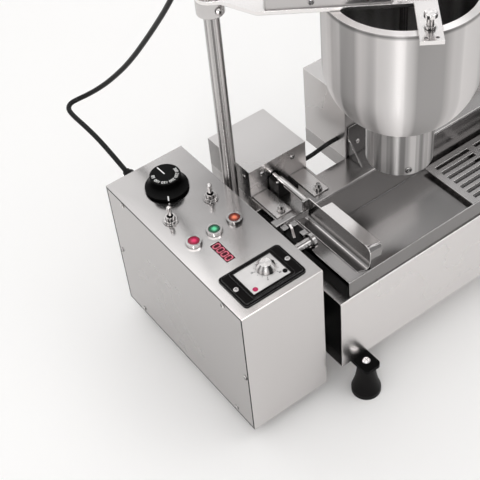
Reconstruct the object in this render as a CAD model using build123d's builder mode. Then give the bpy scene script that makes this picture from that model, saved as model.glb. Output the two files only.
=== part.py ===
from build123d import *
import os
from math import cos, hypot, pi, radians, sqrt, tan

# Automatic table-top fryer for mini ring doughnuts.
# A batter hopper on a post drops rings into a long oil pan; a pusher, a turning grid and a
# lifting grid move them along to the exit chute. A control box stands at the left end.
# +X runs along the pan, +Y to the back, +Z up; the origin is on the floor under the middle.

os.makedirs("parts", exist_ok=True)

# Overall sizes (mm)
overall_length = 1043.0
box_width = 120.0
box_depth = 300.0
box_height = 219.0
casing_height = 124.0
hopper_radius = 95.0
hopper_height = 247.3

# Sheet, fits and fasteners
sheet = 1.2
plate = 2.0
slip_gap = 0.5
pan_fit = 0.15
running_gap = 0.05
hole_gap = 0.1
bend_radius = 1.6
screw_radius = 2.0
screw_length = 8.0
screw_head_radius = 3.6
screw_head_height = 1.5
bolt_radius = 3.0
bolt_head_radius = 5.5
bolt_head_height = 3.5
recess_width = 1.0
recess_depth = 0.7

# Feet under the tank
foot_radius = 20.0
foot_neck_radius = 12.5
foot_waist_radius = 14.4
foot_waist_rise = 29.0
foot_height = 53.0
foot_sole = 7.0
foot_reach = 12.0
foot_inset = 30.5
foot_bolt_length = 30.0
bracket_width = 26.0
bracket_end = 15.5
bracket_corner = 6.0
bracket_thickness = 6.0

# Post base
base_bar_half = 12.0
base_bar_reach = 91.5
base_bolt_insets = (30.5, 76.25)
socket_height = 60.0

# Control box fittings
box_lift = 26.0
box_gap = 15.0
box_setback = 14.5
box_foot_radius = 11.0
box_foot_inset = 28.0
seam = 1.4
flange_width = 15.0
side_screw_edge = 7.5
side_screw_inset = 39.0
side_screw_rise = 104.0
spacer_radius = 8.0
spacer_inset = (40.0, 30.0)
gland_length = 16.5
gland_nut_length = 9.9
head_gland_inset = 40.8
head_gland_drop = 11.0
mains_gland_inset = 84.0
mains_gland_rise = 43.8
gland_radius = 8.0
gland_tip_radius = 5.6
cable_radius = 3.5
panel_pitch = 31.0
timer_row = 40.2
counter_row = 103.0
counter_shift = -12.8
lamp_row = 138.0
toggle_row = 189.5
thermostat_row = 244.5
timer_frame_size = (91.0, 58.0)
timer_face_size = (55.0, 42.0)
timer_frame_height = 5.0
timer_base_height = 1.8
timer_base_lip = 3.0
timer_corner = 5.5
timer_rim_height = 3.0
timer_rim_width = 4.0
timer_screw_inset = 7.2
timer_case_step = 3.0
timer_case_depth = 40.0
timer_knob_radius = 12.6
timer_knob_height = 10.0
timer_knob_side = 5.0
timer_knob_tapers = (8.0, 40.0)
timer_knob_shift = (9.0, 4.0)
counter_size = (13.3, 36.5)
counter_flange = 4.0
counter_depth = 25.0
lamp_radius = 10.3
lens_radius = 7.6
lamp_rim = 2.3
lamp_height = 5.0
toggle_washer_radius = 9.9
toggle_bush_radius = 6.0
toggle_bush_height = 9.0
toggle_height = 24.0
toggle_lever_radii = (1.9, 3.3)
toggle_bore_radius = 4.4
toggle_pin_radius = 1.4
toggle_pin_length = 7.6
toggle_case = (16.0, 28.0, 22.0)
knob_skirt_radius = 28.7
knob_skirt_height = 3.0
knob_flank = (23.0, 9.8)
knob_top_radius = 20.4
knob_height = 21.0
knob_edge = 0.8
knob_gap = 1.5
stem_radius = 3.0
thermostat_case = (40.0, 40.0, 30.0)

# Tank, pan and deck
casing_left_lip = 16.0
casing_right_lip = 15.0
chute_reach = 116.5
end_panel_recess = 12.0
pan_front_gap = 3.0
pan_width = 133.7
pan_rise = 26.0
pan_deep = 55.2
support_inset = 60.0
support_width = 40.0
support_margin = 10.0
end_panel_drop = 2.0
deck_width = 41.3
deck_overhang = 9.0
bed_flange = 22.0

# Drives
cover_size = (93.0, 91.5, 45.6)
cover_gap = 29.0
cover_back_gap = 21.5
cover_screw_insets = (21.4, 22.3)
cover_screw_drop = 14.0
side_cover_screw = 11.0
shaft_offset = 38.5
shaft_rise = 21.0
shaft_radius = 4.75
stub_radius = 3.0
shaft_depth = 15.0
motor_gap = 12.0
cover_tabs = ((2.5, 27.0), (64.5, 88.0))
tab_reach = 53.0
stud_inset = 7.0
stud_radius = 3.0
nut_flats = 9.5
nut_height = 5.0

# Pusher: offsets are from the shaft, to the right and up
tube_reach = 14.0
bearing_near, bearing_far = 23.0, 2.2
bearing_side = 4.6
bearing_base_side = 18.0
bearing_base_height = 3.5
bearing_open = 1.0
bearing_screw_radius = 1.5
bearing_screw_head = 2.1
bearing_screw_inset = 5.0
blade_left = (-20.5, -18.0)
blade_crease = (0.0, -26.0)
blade_crest = (1.8, 6.0)
blade_flange = (20.5, 4.0)
blade_sheet = 1.5
blade_fold = 5.0
blade_front_gap = 4.0
blade_rear_gap = 9.0
blade_flange_gap = 32.0
blade_tab_drop = 17.0
blade_bend = 10.0
blade_plate = 3.0
blade_plate_left = 8.0
blade_plate_drop = 12.0

# Terminal box behind the hopper
terminal_shift = 15.0
terminal_size = (140.0, 86.5, 103.0)
terminal_bracket_size = (60.0, 52.0)
terminal_bracket_inset = 4.0
terminal_screw = (19.0, 21.5)
gusset_size = (28.0, 32.0)
lead_radius = 3.0

# Oil temperature sensor at the left rim of the pan
conduit_row = 68.0
conduit_rise = 8.5
conduit_radius = 7.0
conduit_reach = 8.0
conduit_nut_radius = 10.5
conduit_nut_length = 5.0
bulb_radius = 4.0
bulb_length = 70.0
clip_size = (23.0, 31.0, 6.0)
clip_overhang = 11.0
clip_gap = 5.5
clip_nut = 8.0
clip_nut_height = 4.5
clip_nut_places = ((4.5, 27.0), (18.4, 25.0), (17.5, 4.5))

# Hopper and its arm
post_radius = 9.5
collar_radius = 17.0
collar_height = 20.0
post_setback = 23.0
hopper_along = 173.0
hopper_across = 86.5
hopper_wall = 1.5
hopper_clear = 61.7
rim_width = 10.0
neck_radius = 42.5
neck_wall = 2.5
nozzle_radius = 22.0
nozzle_height = 13.0
arm_thickness = 5.0
arm_half_width = 41.5
arm_taper = (14.0, 54.0)
bar_offset = 19.0
bar_width = 26.0
bar_half_length = 112.0
head_start = 63.0
head_reach = 53.7
head_half_width = 39.0
head_height = 95.0
head_screw_insets = (50.8, 24.7)
head_screw_rise = 7.0
rod_radius = 5.0
rocker_length = 70.0
rocker_rise = 52.0
rocker_half_width = 5.0
pin_radius = 3.0
pin_gap = 0.7
guide_height = 11.0
thumb_radius = 3.0

# Turning and lifting grids
grid_length = 183.3
lift_hinge_inset = 75.0
grid_drop = 69.0
grid_arm = 4.0
grid_hub_radius = 10.0
grid_slot_length = 62.0
grid_slot_width = 6.0
grid_slot_pitch = 12.2
grid_slot_count = 9
grid_border = 11.0
grid_side_gap = 4.5

# Where the main pieces lie, from left to right
left_end = -overall_length / 2
box_left = left_end + screw_head_height
box_right = box_left + box_width
casing_left = box_right + box_gap
casing_right = overall_length / 2 - chute_reach
pan_left = casing_left + casing_left_lip
pan_right = casing_right - casing_right_lip
pusher_cover_left = box_right + cover_gap
pusher_x = pusher_cover_left + shaft_offset
hopper_x = casing_left + hopper_along
lift_hinge_x = casing_right - lift_hinge_inset
turn_hinge_x = (hopper_x + lift_hinge_x) / 2
hinge_xs = [turn_hinge_x, lift_hinge_x]
drive_xs = [pusher_x] + hinge_xs
foot_xs = (casing_left + foot_inset, casing_right - foot_inset)
base_bolt_x = casing_left + foot_reach / 2
post_x = (box_right + pusher_cover_left) / 2
end_panel_left = casing_left + end_panel_recess
terminal_left = hopper_x - terminal_shift
panel_mid = box_left + box_width / 2

# From front to back
overall_depth = foot_radius + foot_reach + box_setback + box_depth + gland_length
casing_front = -overall_depth / 2 + foot_radius + foot_reach
casing_depth = pan_front_gap + pan_width + deck_width
casing_back = casing_front + casing_depth
box_front = casing_front + box_setback
box_back = box_front + box_depth
foot_ys = (casing_front - foot_reach, casing_back + foot_reach)
pan_front = casing_front + pan_front_gap
pan_back = pan_front + pan_width
deck_front = pan_back - sheet
cover_front = casing_back + cover_back_gap
cover_back = cover_front + cover_size[1]
tab_front = cover_front - tab_reach
stud_y = tab_front + stud_inset
motor_front = cover_front + motor_gap
terminal_back = casing_back + terminal_size[1]
post_y = cover_front + post_setback
hopper_y = pan_front + hopper_across

# From the floor up
casing_bottom = foot_height + bracket_thickness
casing_top = casing_bottom + casing_height
pan_rim = casing_top + pan_rise
pan_bottom = pan_rim - pan_deep
deck_top = pan_rim + plate
cover_top = deck_top + cover_size[2]
shaft_z = deck_top + shaft_rise
box_top = box_lift + box_height
neck_bottom = pan_rim + hopper_clear
rim_z = neck_bottom + hopper_height
arm_top = rim_z + arm_thickness
bowl_z = rim_z - hopper_radius - 0.4
rocker_z = arm_top + rocker_rise

UP = (0, 0, 1)
DOWN = (0, 0, -1)
FRONT = (0, -1, 0)
BACK = (0, 1, 0)
LEFT = (-1, 0, 0)
RIGHT = (1, 0, 0)
STAND = (Align.CENTER, Align.CENTER, Align.MIN)
HANG = (Align.CENTER, Align.CENTER, Align.MAX)

# The arm frame: u from the post to the hopper, v to the back of it, z from the floor
arm_length = hypot(hopper_x - post_x, hopper_y - post_y)
arm_plane = Plane((post_x, post_y, 0), x_dir=(hopper_x - post_x, hopper_y - post_y, 0), z_dir=UP)
rocker_u = arm_length - rocker_length
head_end = rocker_u + head_reach
bar_u = arm_length + bar_offset


def write(piece, node):
    """Label a finished piece and write it."""
    piece.part.label = node
    export_step(piece.part, f"parts/{node}.step")


def block(x0, x1, y0, y1, z0, z1, mode=Mode.ADD):
    """A box between two corners."""
    with Locations(((x0 + x1) / 2, (y0 + y1) / 2, (z0 + z1) / 2)):
        Box(x1 - x0, y1 - y0, z1 - z0, mode=mode)


def rod(point, direction, radius, length, mode=Mode.ADD):
    """A round bar that starts at a point and runs along a direction."""
    with Locations(Plane(point, z_dir=direction)):
        Cylinder(radius, length, align=STAND, mode=mode)


def arm_block(u0, u1, v0, v1, z0, z1, mode=Mode.ADD):
    """A box between two corners given in the arm frame."""
    middle = Location(((u0 + u1) / 2, (v0 + v1) / 2, (z0 + z1) / 2))
    with Locations(arm_plane.location * middle):
        Box(u1 - u0, v1 - v0, z1 - z0, mode=mode)


def at_arm(u, v, z):
    """The point with these arm-frame coordinates."""
    return arm_plane.from_local_coords(Vector(u, v, z))


def screw(point, outward, radius, head_radius, head_height, length):
    """A screw whose bevelled head sits on a surface and has a cross recess."""
    seat = Plane(point, z_dir=outward)
    half = head_height / 2
    with BuildSketch(Plane(point, x_dir=seat.x_dir, z_dir=-seat.y_dir)) as outline:
        with BuildLine():
            Polyline((0, head_height), (0, -length), (radius, -length), (radius, 0), (head_radius, 0),
                     (head_radius, half), (head_radius - half, head_height), close=True)
        make_face()
    revolve(outline.sketch, axis=Axis(point, outward))
    with BuildSketch(seat.offset(head_height)) as cross:
        Rectangle(head_radius, recess_width)
        Rectangle(recess_width, head_radius)
    extrude(cross.sketch, amount=-recess_depth, mode=Mode.SUBTRACT)


def ring(x, y, z0, z1, outer, inner):
    """An upright tube."""
    rod((x, y, z0), UP, outer, z1 - z0)
    rod((x, y, z0), UP, inner, z1 - z0, Mode.SUBTRACT)


# Tank casing: folded sheet, open at the left end, with an opening for the pan in its top
with BuildPart() as tank_casing:
    block(casing_left, casing_right, casing_front, casing_back, casing_bottom, casing_top)
    fillet(tank_casing.edges().filter_by(Axis.X), bend_radius)
    block(casing_left - 1, casing_right - sheet, casing_front + sheet, casing_back - sheet,
          casing_bottom + sheet, casing_top - sheet, Mode.SUBTRACT)
    block(pan_left - pan_fit, pan_right + pan_fit, pan_front - pan_fit, pan_back + pan_fit,
          casing_top - 2 * sheet, casing_top + 1, Mode.SUBTRACT)
    block(casing_left + sheet, casing_right - sheet, casing_back - sheet, casing_back,
          casing_top - 2 * bend_radius, pan_rim)
    for x in foot_xs:
        for y in (casing_front + foot_inset, casing_back - foot_inset):
            rod((x, y, casing_bottom - 1), UP, bolt_radius + hole_gap, sheet + 2, Mode.SUBTRACT)
    for inset in base_bolt_insets:
        rod((base_bolt_x, casing_back - inset, casing_bottom - 1), UP, bolt_radius + hole_gap,
            sheet + 2, Mode.SUBTRACT)
write(tank_casing, "tank_casing")

# Black sheet inside the open end, and its upper half between the casing and the pan's rim
with BuildPart() as casing_end_panel:
    block(end_panel_left, end_panel_left + sheet, casing_front + sheet, casing_back - sheet,
          casing_bottom + sheet, casing_top - sheet)
    block(end_panel_left, end_panel_left + sheet, pan_front, casing_back - sheet, casing_top,
          pan_rim - end_panel_drop)
write(casing_end_panel, "casing_end_panel")

# Oil pan: a deep tray; its back wall carries the deck
with BuildPart() as oil_pan:
    block(pan_left, pan_right, pan_front, pan_back, pan_bottom, pan_rim)
    fillet(oil_pan.edges().filter_by(Axis.Z), 2 * sheet)
    block(pan_left + sheet, pan_right - sheet, pan_front + sheet, pan_back - sheet,
          pan_bottom + sheet, pan_rim + 1, Mode.SUBTRACT)
write(oil_pan, "oil_pan")

# Two folded stands under the pan
with BuildPart() as pan_supports:
    for x in (pan_left + support_inset, pan_right - support_inset):
        left, right = x - support_width / 2, x + support_width / 2
        block(left, right, pan_front + support_margin, pan_back - support_margin,
              casing_bottom + sheet, pan_bottom)
        block(left + sheet, right - sheet, pan_front, pan_back, casing_bottom, pan_bottom - sheet,
              Mode.SUBTRACT)
write(pan_supports, "pan_supports")

# Deck behind the pan, with a flanged bed under every box that stands behind the casing
terminal_front = casing_back
deck_left = pan_left - deck_overhang
cover_lefts = [x - shaft_offset for x in drive_xs]
beds = [(left, left + cover_size[0], cover_back) for left in cover_lefts]
beds.append((terminal_left, terminal_left + terminal_size[0], terminal_back))
stud_points = [
    (x - shaft_offset + sum(tab) / 2, stud_y) for x in drive_xs for tab in cover_tabs
]
with BuildPart() as deck:
    block(deck_left, pan_right, deck_front, casing_back, pan_rim, deck_top)
    fillet(deck.edges().filter_by(Axis.X).group_by(Axis.Z)[-1].sort_by(Axis.Y)[0], bend_radius)
    block(deck_left - 1, pusher_cover_left, tab_front + sheet, casing_back + 1, pan_rim - 1,
          deck_top + 1, Mode.SUBTRACT)
    for left, right, back in beds:
        block(left, right, casing_back, back, pan_rim, deck_top)
        for x in (left, right - plate):
            block(x, x + plate, casing_back, back, pan_rim - bed_flange, pan_rim)
    for x, y in stud_points:
        rod((x, y, pan_rim - 1), UP, stud_radius + hole_gap, plate + 2, Mode.SUBTRACT)
write(deck, "deck")

# Foot bars under the casing with a rubber foot at each end
foot_points = [(x, y) for x in foot_xs for y in foot_ys]
foot_span = foot_ys[1] - foot_ys[0]
with BuildPart() as foot_brackets:
    with BuildSketch(Plane.XY.offset(foot_height)):
        with Locations(*[(x, sum(foot_ys) / 2) for x in foot_xs]):
            RectangleRounded(bracket_width, foot_span + 2 * bracket_end, bracket_corner)
    extrude(amount=bracket_thickness)
    for x, y in foot_points:
        rod((x, y, foot_height - 1), UP, bolt_radius + hole_gap, bracket_thickness + 2,
            Mode.SUBTRACT)
    for x in foot_xs:
        for y in (casing_front + foot_inset, casing_back - foot_inset):
            rod((x, y, foot_height - 1), UP, bolt_radius + hole_gap, bracket_thickness + 2,
                Mode.SUBTRACT)
write(foot_brackets, "foot_brackets")

with BuildPart() as rubber_feet:
    for x, y in foot_points:
        with BuildSketch(Plane((x, y, 0), x_dir=RIGHT, z_dir=FRONT)):
            with BuildLine():
                Polyline((foot_neck_radius, foot_height), (0, foot_height), (0, 0), (foot_radius, 0),
                         (foot_radius, foot_sole))
                ThreePointArc((foot_radius, foot_sole), (foot_waist_radius, foot_waist_rise),
                              (foot_neck_radius, foot_height))
            make_face()
        revolve(axis=Axis((x, y, 0), UP))
        rod((x, y, foot_height - foot_bolt_length), UP, bolt_radius + hole_gap,
            foot_bolt_length, Mode.SUBTRACT)
write(rubber_feet, "rubber_feet")

# Post base: a bar bolted under the casing's left edge with a socket for the post
with BuildPart() as post_base:
    block(post_x - base_bar_half, post_x + base_bar_half, casing_back - base_bar_reach, post_y,
          foot_height, casing_bottom)
    rod((post_x, post_y, foot_height), UP, base_bar_half, bracket_thickness + socket_height)
    rod((post_x, post_y, casing_bottom), UP, post_radius + running_gap, socket_height,
        Mode.SUBTRACT)
    for inset in base_bolt_insets:
        rod((base_bolt_x, casing_back - inset, foot_height - 1), UP, bolt_radius + hole_gap,
            bracket_thickness + 2, Mode.SUBTRACT)
write(post_base, "post_base")

# Bolts through the foot bars and the post base; each stands on its outer face
with BuildPart() as base_bolts:
    for x, y in foot_points:
        screw((x, y, casing_bottom), UP, bolt_radius, bolt_head_radius, bolt_head_height,
              bracket_thickness + foot_bolt_length)
    for x in foot_xs:
        for y in (casing_front + foot_inset, casing_back - foot_inset):
            screw((x, y, foot_height), DOWN, bolt_radius, bolt_head_radius,
                  bolt_head_height, bracket_thickness + sheet + 6)
    for inset in base_bolt_insets:
        screw((base_bolt_x, casing_back - inset, foot_height), DOWN, bolt_radius,
              bolt_head_radius, bolt_head_height, bracket_thickness + sheet + 6)
write(base_bolts, "base_bolts")

# Control box: a folded top and front, a chassis of back, bottom and right side, and a screwed
# side panel at the left
panel_inner_top = box_top - sheet
timer_y = box_front + timer_row
counter_x = panel_mid + counter_shift
counter_y = box_front + counter_row
lamp_xs = [panel_mid + i * panel_pitch for i in (-1, 0, 1)]
lamp_y = box_front + lamp_row
toggle_xs = [panel_mid - panel_pitch, panel_mid + panel_pitch]
toggle_y = box_front + toggle_row
thermostat_y = box_front + thermostat_row
timer_case_size = [size - 2 * timer_case_step for size in timer_face_size]
timer_screw_xs = [panel_mid + side * (timer_frame_size[0] / 2 - timer_screw_inset) for side in (-1, 1)]
head_gland = (box_left + head_gland_inset, box_back, box_top - head_gland_drop)
mains_gland = (box_left + mains_gland_inset, box_back, box_lift + mains_gland_rise)
conduit_y = box_front + conduit_row
conduit_z = pan_rim + conduit_rise
flange_x0, flange_x1 = box_left + sheet, box_left + 2 * sheet
side_screw_points = [
    (y, z)
    for y in (box_front + side_screw_inset, box_back - side_screw_inset)
    for z in (box_lift + side_screw_edge, box_top - side_screw_edge)
] + [(y, box_lift + side_screw_rise) for y in (box_front + side_screw_edge, box_back - side_screw_edge)]
with BuildPart() as control_box:
    block(box_left, box_right, box_front, box_back, box_lift, box_top)
    fillet(control_box.edges().filter_by(Axis.X).group_by(Axis.Z)[-1].sort_by(Axis.Y)[0], bend_radius)
    block(box_left - 1, box_right + 1, box_front + sheet, box_back + 1, box_lift - 1,
          panel_inner_top, Mode.SUBTRACT)
    block(flange_x0, flange_x1, box_front + sheet, box_back - sheet, box_top - flange_width,
          panel_inner_top)
    block(flange_x0, flange_x1, box_front + sheet, box_front + flange_width, box_lift + sheet,
          panel_inner_top)
    for y, z in side_screw_points:
        rod((box_left, y, z), RIGHT, screw_radius + hole_gap, 3 * sheet, Mode.SUBTRACT)
    for x in toggle_xs:
        rod((x, toggle_y, panel_inner_top - 1), UP, toggle_bush_radius + hole_gap, 3, Mode.SUBTRACT)
    for x in lamp_xs:
        rod((x, lamp_y, panel_inner_top - 1), UP, lens_radius + hole_gap, 3, Mode.SUBTRACT)
    rod((panel_mid, thermostat_y, panel_inner_top - 1), UP, 2 * stem_radius, 3, Mode.SUBTRACT)
    block(counter_x - counter_size[0] / 2, counter_x + counter_size[0] / 2,
          counter_y - counter_size[1] / 2, counter_y + counter_size[1] / 2,
          panel_inner_top - 1, box_top + 1, Mode.SUBTRACT)
    block(panel_mid - timer_case_size[0] / 2, panel_mid + timer_case_size[0] / 2,
          timer_y - timer_case_size[1] / 2, timer_y + timer_case_size[1] / 2,
          panel_inner_top - 1, box_top + 1, Mode.SUBTRACT)
    for x in timer_screw_xs:
        rod((x, timer_y, panel_inner_top - 1), UP, screw_radius + hole_gap, 3, Mode.SUBTRACT)
write(control_box, "control_box")

with BuildPart() as box_chassis:
    block(box_left, box_right, box_front + sheet, box_back, box_lift, box_lift + sheet)
    block(box_left, box_right, box_back - sheet, box_back, box_lift, panel_inner_top)
    block(box_right - sheet, box_right, box_front + sheet, box_back, box_lift, panel_inner_top)
    block(flange_x0, flange_x1, box_front + flange_width, box_back - sheet, box_lift + sheet,
          box_lift + flange_width)
    block(flange_x0, flange_x1, box_back - flange_width, box_back - sheet, box_lift + sheet,
          box_top - flange_width)
    for y, z in side_screw_points:
        rod((box_left, y, z), RIGHT, screw_radius + hole_gap, 3 * sheet, Mode.SUBTRACT)
    for point in (head_gland, mains_gland):
        rod(point, FRONT, gland_tip_radius + hole_gap, 2 * sheet, Mode.SUBTRACT)
    rod((box_right + 1, conduit_y, conduit_z), LEFT, conduit_radius + hole_gap, 2 * sheet + 1,
        Mode.SUBTRACT)
write(box_chassis, "box_chassis")

with BuildPart() as side_panel:
    edge = sheet + seam
    block(box_left, box_left + sheet, box_front + edge, box_back - edge, box_lift + edge,
          box_top - edge)
    for y, z in side_screw_points:
        rod((box_left - 1, y, z), RIGHT, screw_radius + hole_gap, sheet + 2, Mode.SUBTRACT)
write(side_panel, "side_panel")

with BuildPart() as box_feet:
    for x in (box_left + box_foot_inset, box_right - box_foot_inset):
        for y in (box_front + box_foot_inset, box_back - box_foot_inset):
            rod((x, y, 0), UP, box_foot_radius, box_lift)
write(box_feet, "box_feet")

# Distance tubes between the control box and the tank's end panel
with BuildPart() as box_spacers:
    for y in (box_front + spacer_inset[0], casing_back - spacer_inset[0]):
        for z in (casing_bottom + spacer_inset[1], casing_top - spacer_inset[1]):
            rod((box_right, y, z), RIGHT, spacer_radius, end_panel_left - box_right)
write(box_spacers, "box_spacers")

# Cable glands: two in the back of the control box and one in the back of the head cover
head_entry = at_arm(head_start, 0, rocker_z)
gland_places = [
    (Vector(*head_gland), Vector(*BACK)),
    (Vector(*mains_gland), Vector(*BACK)),
    (head_entry, -arm_plane.x_dir),
]
with BuildPart() as cable_glands:
    for point, outward in gland_places:
        rod(point - outward * sheet, outward, gland_tip_radius, sheet + gland_length)
        rod(point, outward, gland_radius, gland_nut_length)
    rod(Vector(*mains_gland) + Vector(0, gland_length, 0), FRONT, cable_radius,
        gland_length + 2 * sheet, Mode.SUBTRACT)
write(cable_glands, "cable_glands")

# Thermostat behind the big knob
with BuildPart() as thermostat_body:
    with Locations((panel_mid, thermostat_y, panel_inner_top)):
        Box(*thermostat_case, align=HANG)
    rod((panel_mid, thermostat_y, panel_inner_top), DOWN, stem_radius + running_gap, 18,
        Mode.SUBTRACT)
write(thermostat_body, "thermostat_body")

knob_bottom = box_top + knob_gap
with BuildPart() as thermostat_knob:
    with BuildSketch(Plane((panel_mid, thermostat_y, knob_bottom), x_dir=RIGHT, z_dir=FRONT)):
        with BuildLine():
            Polyline((knob_top_radius, knob_height), (0, knob_height), (0, 0), (knob_skirt_radius, 0),
                     (knob_skirt_radius, knob_skirt_height))
            ThreePointArc((knob_skirt_radius, knob_skirt_height), knob_flank,
                          (knob_top_radius, knob_height))
        make_face()
    revolve(axis=Axis((panel_mid, thermostat_y, 0), UP))
    fillet(thermostat_knob.edges().group_by(Axis.Z)[-1], knob_edge)
    rod((panel_mid, thermostat_y, knob_bottom - 15), UP, stem_radius, 16)
write(thermostat_knob, "thermostat_knob")

# Toggle switches
toggle_pivot = box_top + 1.0
with BuildPart() as toggle_bodies:
    for x in toggle_xs:
        with Locations((x, toggle_y, panel_inner_top)):
            Box(*toggle_case, align=HANG)
        rod((x, toggle_y, panel_inner_top), UP, toggle_bush_radius, sheet + toggle_bush_height)
        rod((x, toggle_y, toggle_pivot - 8), UP, toggle_bore_radius, toggle_bush_height + 9,
            Mode.SUBTRACT)
write(toggle_bodies, "toggle_bodies")

with BuildPart() as toggle_nuts:
    for x in toggle_xs:
        rod((x, toggle_y, box_top), UP, toggle_washer_radius, 1.2)
        with BuildSketch(Plane.XY.offset(box_top + 1.2)):
            with Locations((x, toggle_y)):
                RegularPolygon(8, 6, major_radius=False)
        extrude(amount=3)
        rod((x, toggle_y, box_top), UP, toggle_bush_radius + hole_gap, 6, Mode.SUBTRACT)
write(toggle_nuts, "toggle_nuts")


def toggle_lever(x):
    """A bat lever that tapers down to its pivot pin inside the bush."""
    with BuildPart() as lever:
        rod((x - toggle_pin_length / 2, toggle_y, toggle_pivot), RIGHT, toggle_pin_radius,
            toggle_pin_length)
        with Locations((x, toggle_y, toggle_pivot - 4)):
            Cone(*toggle_lever_radii, toggle_height + 1, align=STAND)
        with Locations((x, toggle_y, toggle_pivot - 3 + toggle_height)):
            Sphere(toggle_lever_radii[1])
    return lever


toggle_lever_left = toggle_lever(toggle_xs[0])
write(toggle_lever_left, "toggle_lever_left")
toggle_lever_right = toggle_lever(toggle_xs[1])
write(toggle_lever_right, "toggle_lever_right")

# Pilot lamps: metal bezels with coloured lenses
with BuildPart() as lamp_bezels:
    for x in lamp_xs:
        rod((x, lamp_y, panel_inner_top - 18), UP, lens_radius, 18 + sheet)
        with Locations((x, lamp_y, box_top)):
            Cone(lamp_radius, lens_radius + lamp_rim, lamp_height, align=STAND)
        rod((x, lamp_y, box_top + 1), UP, lens_radius, lamp_height, Mode.SUBTRACT)
write(lamp_bezels, "lamp_bezels")


def lamp_lens(x):
    """A low lens with a rounded edge, sunk a little in its bezel."""
    with BuildPart() as lens:
        rod((x, lamp_y, box_top + 1), UP, lens_radius, lamp_height - 1.2)
        fillet(lens.edges().group_by(Axis.Z)[-1], 0.9)
    return lens


for colour, x in zip(("red", "green", "amber"), lamp_xs):
    write(lamp_lens(x), f"lamp_{colour}")

# Counter with a flush window
with BuildPart() as counter:
    with Locations((counter_x, counter_y, panel_inner_top)):
        Box(counter_size[0] + 2 * counter_flange, counter_size[1] + 2 * counter_flange,
            counter_depth, align=HANG)
    block(counter_x - counter_size[0] / 2, counter_x + counter_size[0] / 2,
          counter_y - counter_size[1] / 2, counter_y + counter_size[1] / 2,
          panel_inner_top, box_top - 0.3)
write(counter, "counter")

# Timer: a stepped frame round a flat face with a faceted knob
timer_opening = (timer_face_size[0] + 2 * hole_gap, timer_face_size[1] + 2 * hole_gap)
with BuildPart() as timer_frame:
    with BuildSketch(Plane.XY.offset(box_top)):
        with Locations((panel_mid, timer_y)):
            RectangleRounded(*timer_frame_size, timer_corner)
            Rectangle(*timer_opening, mode=Mode.SUBTRACT)
    extrude(amount=timer_base_height)
    with BuildSketch(Plane.XY.offset(box_top + timer_base_height)):
        with Locations((panel_mid, timer_y)):
            RectangleRounded(*[size - 2 * timer_base_lip for size in timer_frame_size],
                             timer_corner - timer_base_lip)
            Rectangle(*timer_opening, mode=Mode.SUBTRACT)
    extrude(amount=timer_rim_height - timer_base_height)
    with BuildSketch(Plane.XY.offset(box_top + timer_rim_height)):
        with Locations((panel_mid, timer_y)):
            RectangleRounded(*[size + 2 * timer_rim_width for size in timer_opening], timer_rim_width)
            Rectangle(*timer_opening, mode=Mode.SUBTRACT)
    extrude(amount=timer_frame_height - timer_rim_height)
    for x in timer_screw_xs:
        rod((x, timer_y, box_top), UP, screw_radius + hole_gap, timer_frame_height, Mode.SUBTRACT)
write(timer_frame, "timer_frame")

timer_knob_x = panel_mid + timer_knob_shift[0]
timer_knob_y = timer_y + timer_knob_shift[1]
timer_face_top = box_top + timer_frame_height - 1.2
with BuildPart() as timer_face:
    block(panel_mid - timer_face_size[0] / 2, panel_mid + timer_face_size[0] / 2,
          timer_y - timer_face_size[1] / 2, timer_y + timer_face_size[1] / 2,
          box_top, timer_face_top)
    with Locations((panel_mid, timer_y, box_top)):
        Box(*timer_case_size, timer_case_depth, align=HANG)
    rod((timer_knob_x, timer_knob_y, timer_face_top), DOWN, stem_radius + running_gap, 14,
        Mode.SUBTRACT)
write(timer_face, "timer_face")

knob_waist = timer_knob_radius * cos(pi / 12) - timer_knob_side * tan(radians(timer_knob_tapers[0]))
with BuildPart() as timer_knob:
    rod((timer_knob_x, timer_knob_y, timer_face_top - 11), UP, stem_radius, 12)
    with BuildSketch(Plane.XY.offset(timer_face_top + 0.5)):
        with Locations((timer_knob_x, timer_knob_y)):
            RegularPolygon(timer_knob_radius, 12)
    extrude(amount=timer_knob_side, taper=timer_knob_tapers[0])
    with BuildSketch(Plane.XY.offset(timer_face_top + 0.5 + timer_knob_side)):
        with Locations((timer_knob_x, timer_knob_y)):
            RegularPolygon(knob_waist, 12, major_radius=False)
    extrude(amount=timer_knob_height - timer_knob_side, taper=timer_knob_tapers[1])
write(timer_knob, "timer_knob")

# Post, clamp collar and arm
with BuildPart() as post:
    rod((post_x, post_y, casing_bottom), UP, post_radius, arm_top + 16 - casing_bottom)
    fillet(post.edges().group_by(Axis.Z)[-1], 1.5)
write(post, "post")

collar_z = rim_z - collar_height
with BuildPart() as clamp_collar:
    ring(post_x, post_y, collar_z, rim_z, collar_radius, post_radius + running_gap)
    fillet(clamp_collar.edges().group_by(Axis.Z)[0].sort_by(SortBy.LENGTH)[-1], 2)
    rod((post_x, post_y, collar_z + collar_height / 2), FRONT, bolt_radius + hole_gap,
        2 * collar_radius, Mode.SUBTRACT)
write(clamp_collar, "clamp_collar")

with BuildPart() as arm_plate:
    with BuildSketch(arm_plane.offset(rim_z)):
        half = collar_radius
        Circle(half)
        Polygon((0, -half), (arm_taper[0], -half), (arm_taper[1], -arm_half_width),
                (bar_u - bar_width / 2, -arm_half_width), (bar_u - bar_width / 2, arm_half_width),
                (arm_taper[1], arm_half_width), (arm_taper[0], half), (0, half), align=None)
        Circle(post_radius + running_gap, mode=Mode.SUBTRACT)
        with Locations((bar_u, 0)):
            SlotCenterToCenter(2 * bar_offset, 2 * rod_radius + 3, mode=Mode.SUBTRACT)
    extrude(amount=arm_thickness)
write(arm_plate, "arm_plate")

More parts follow.
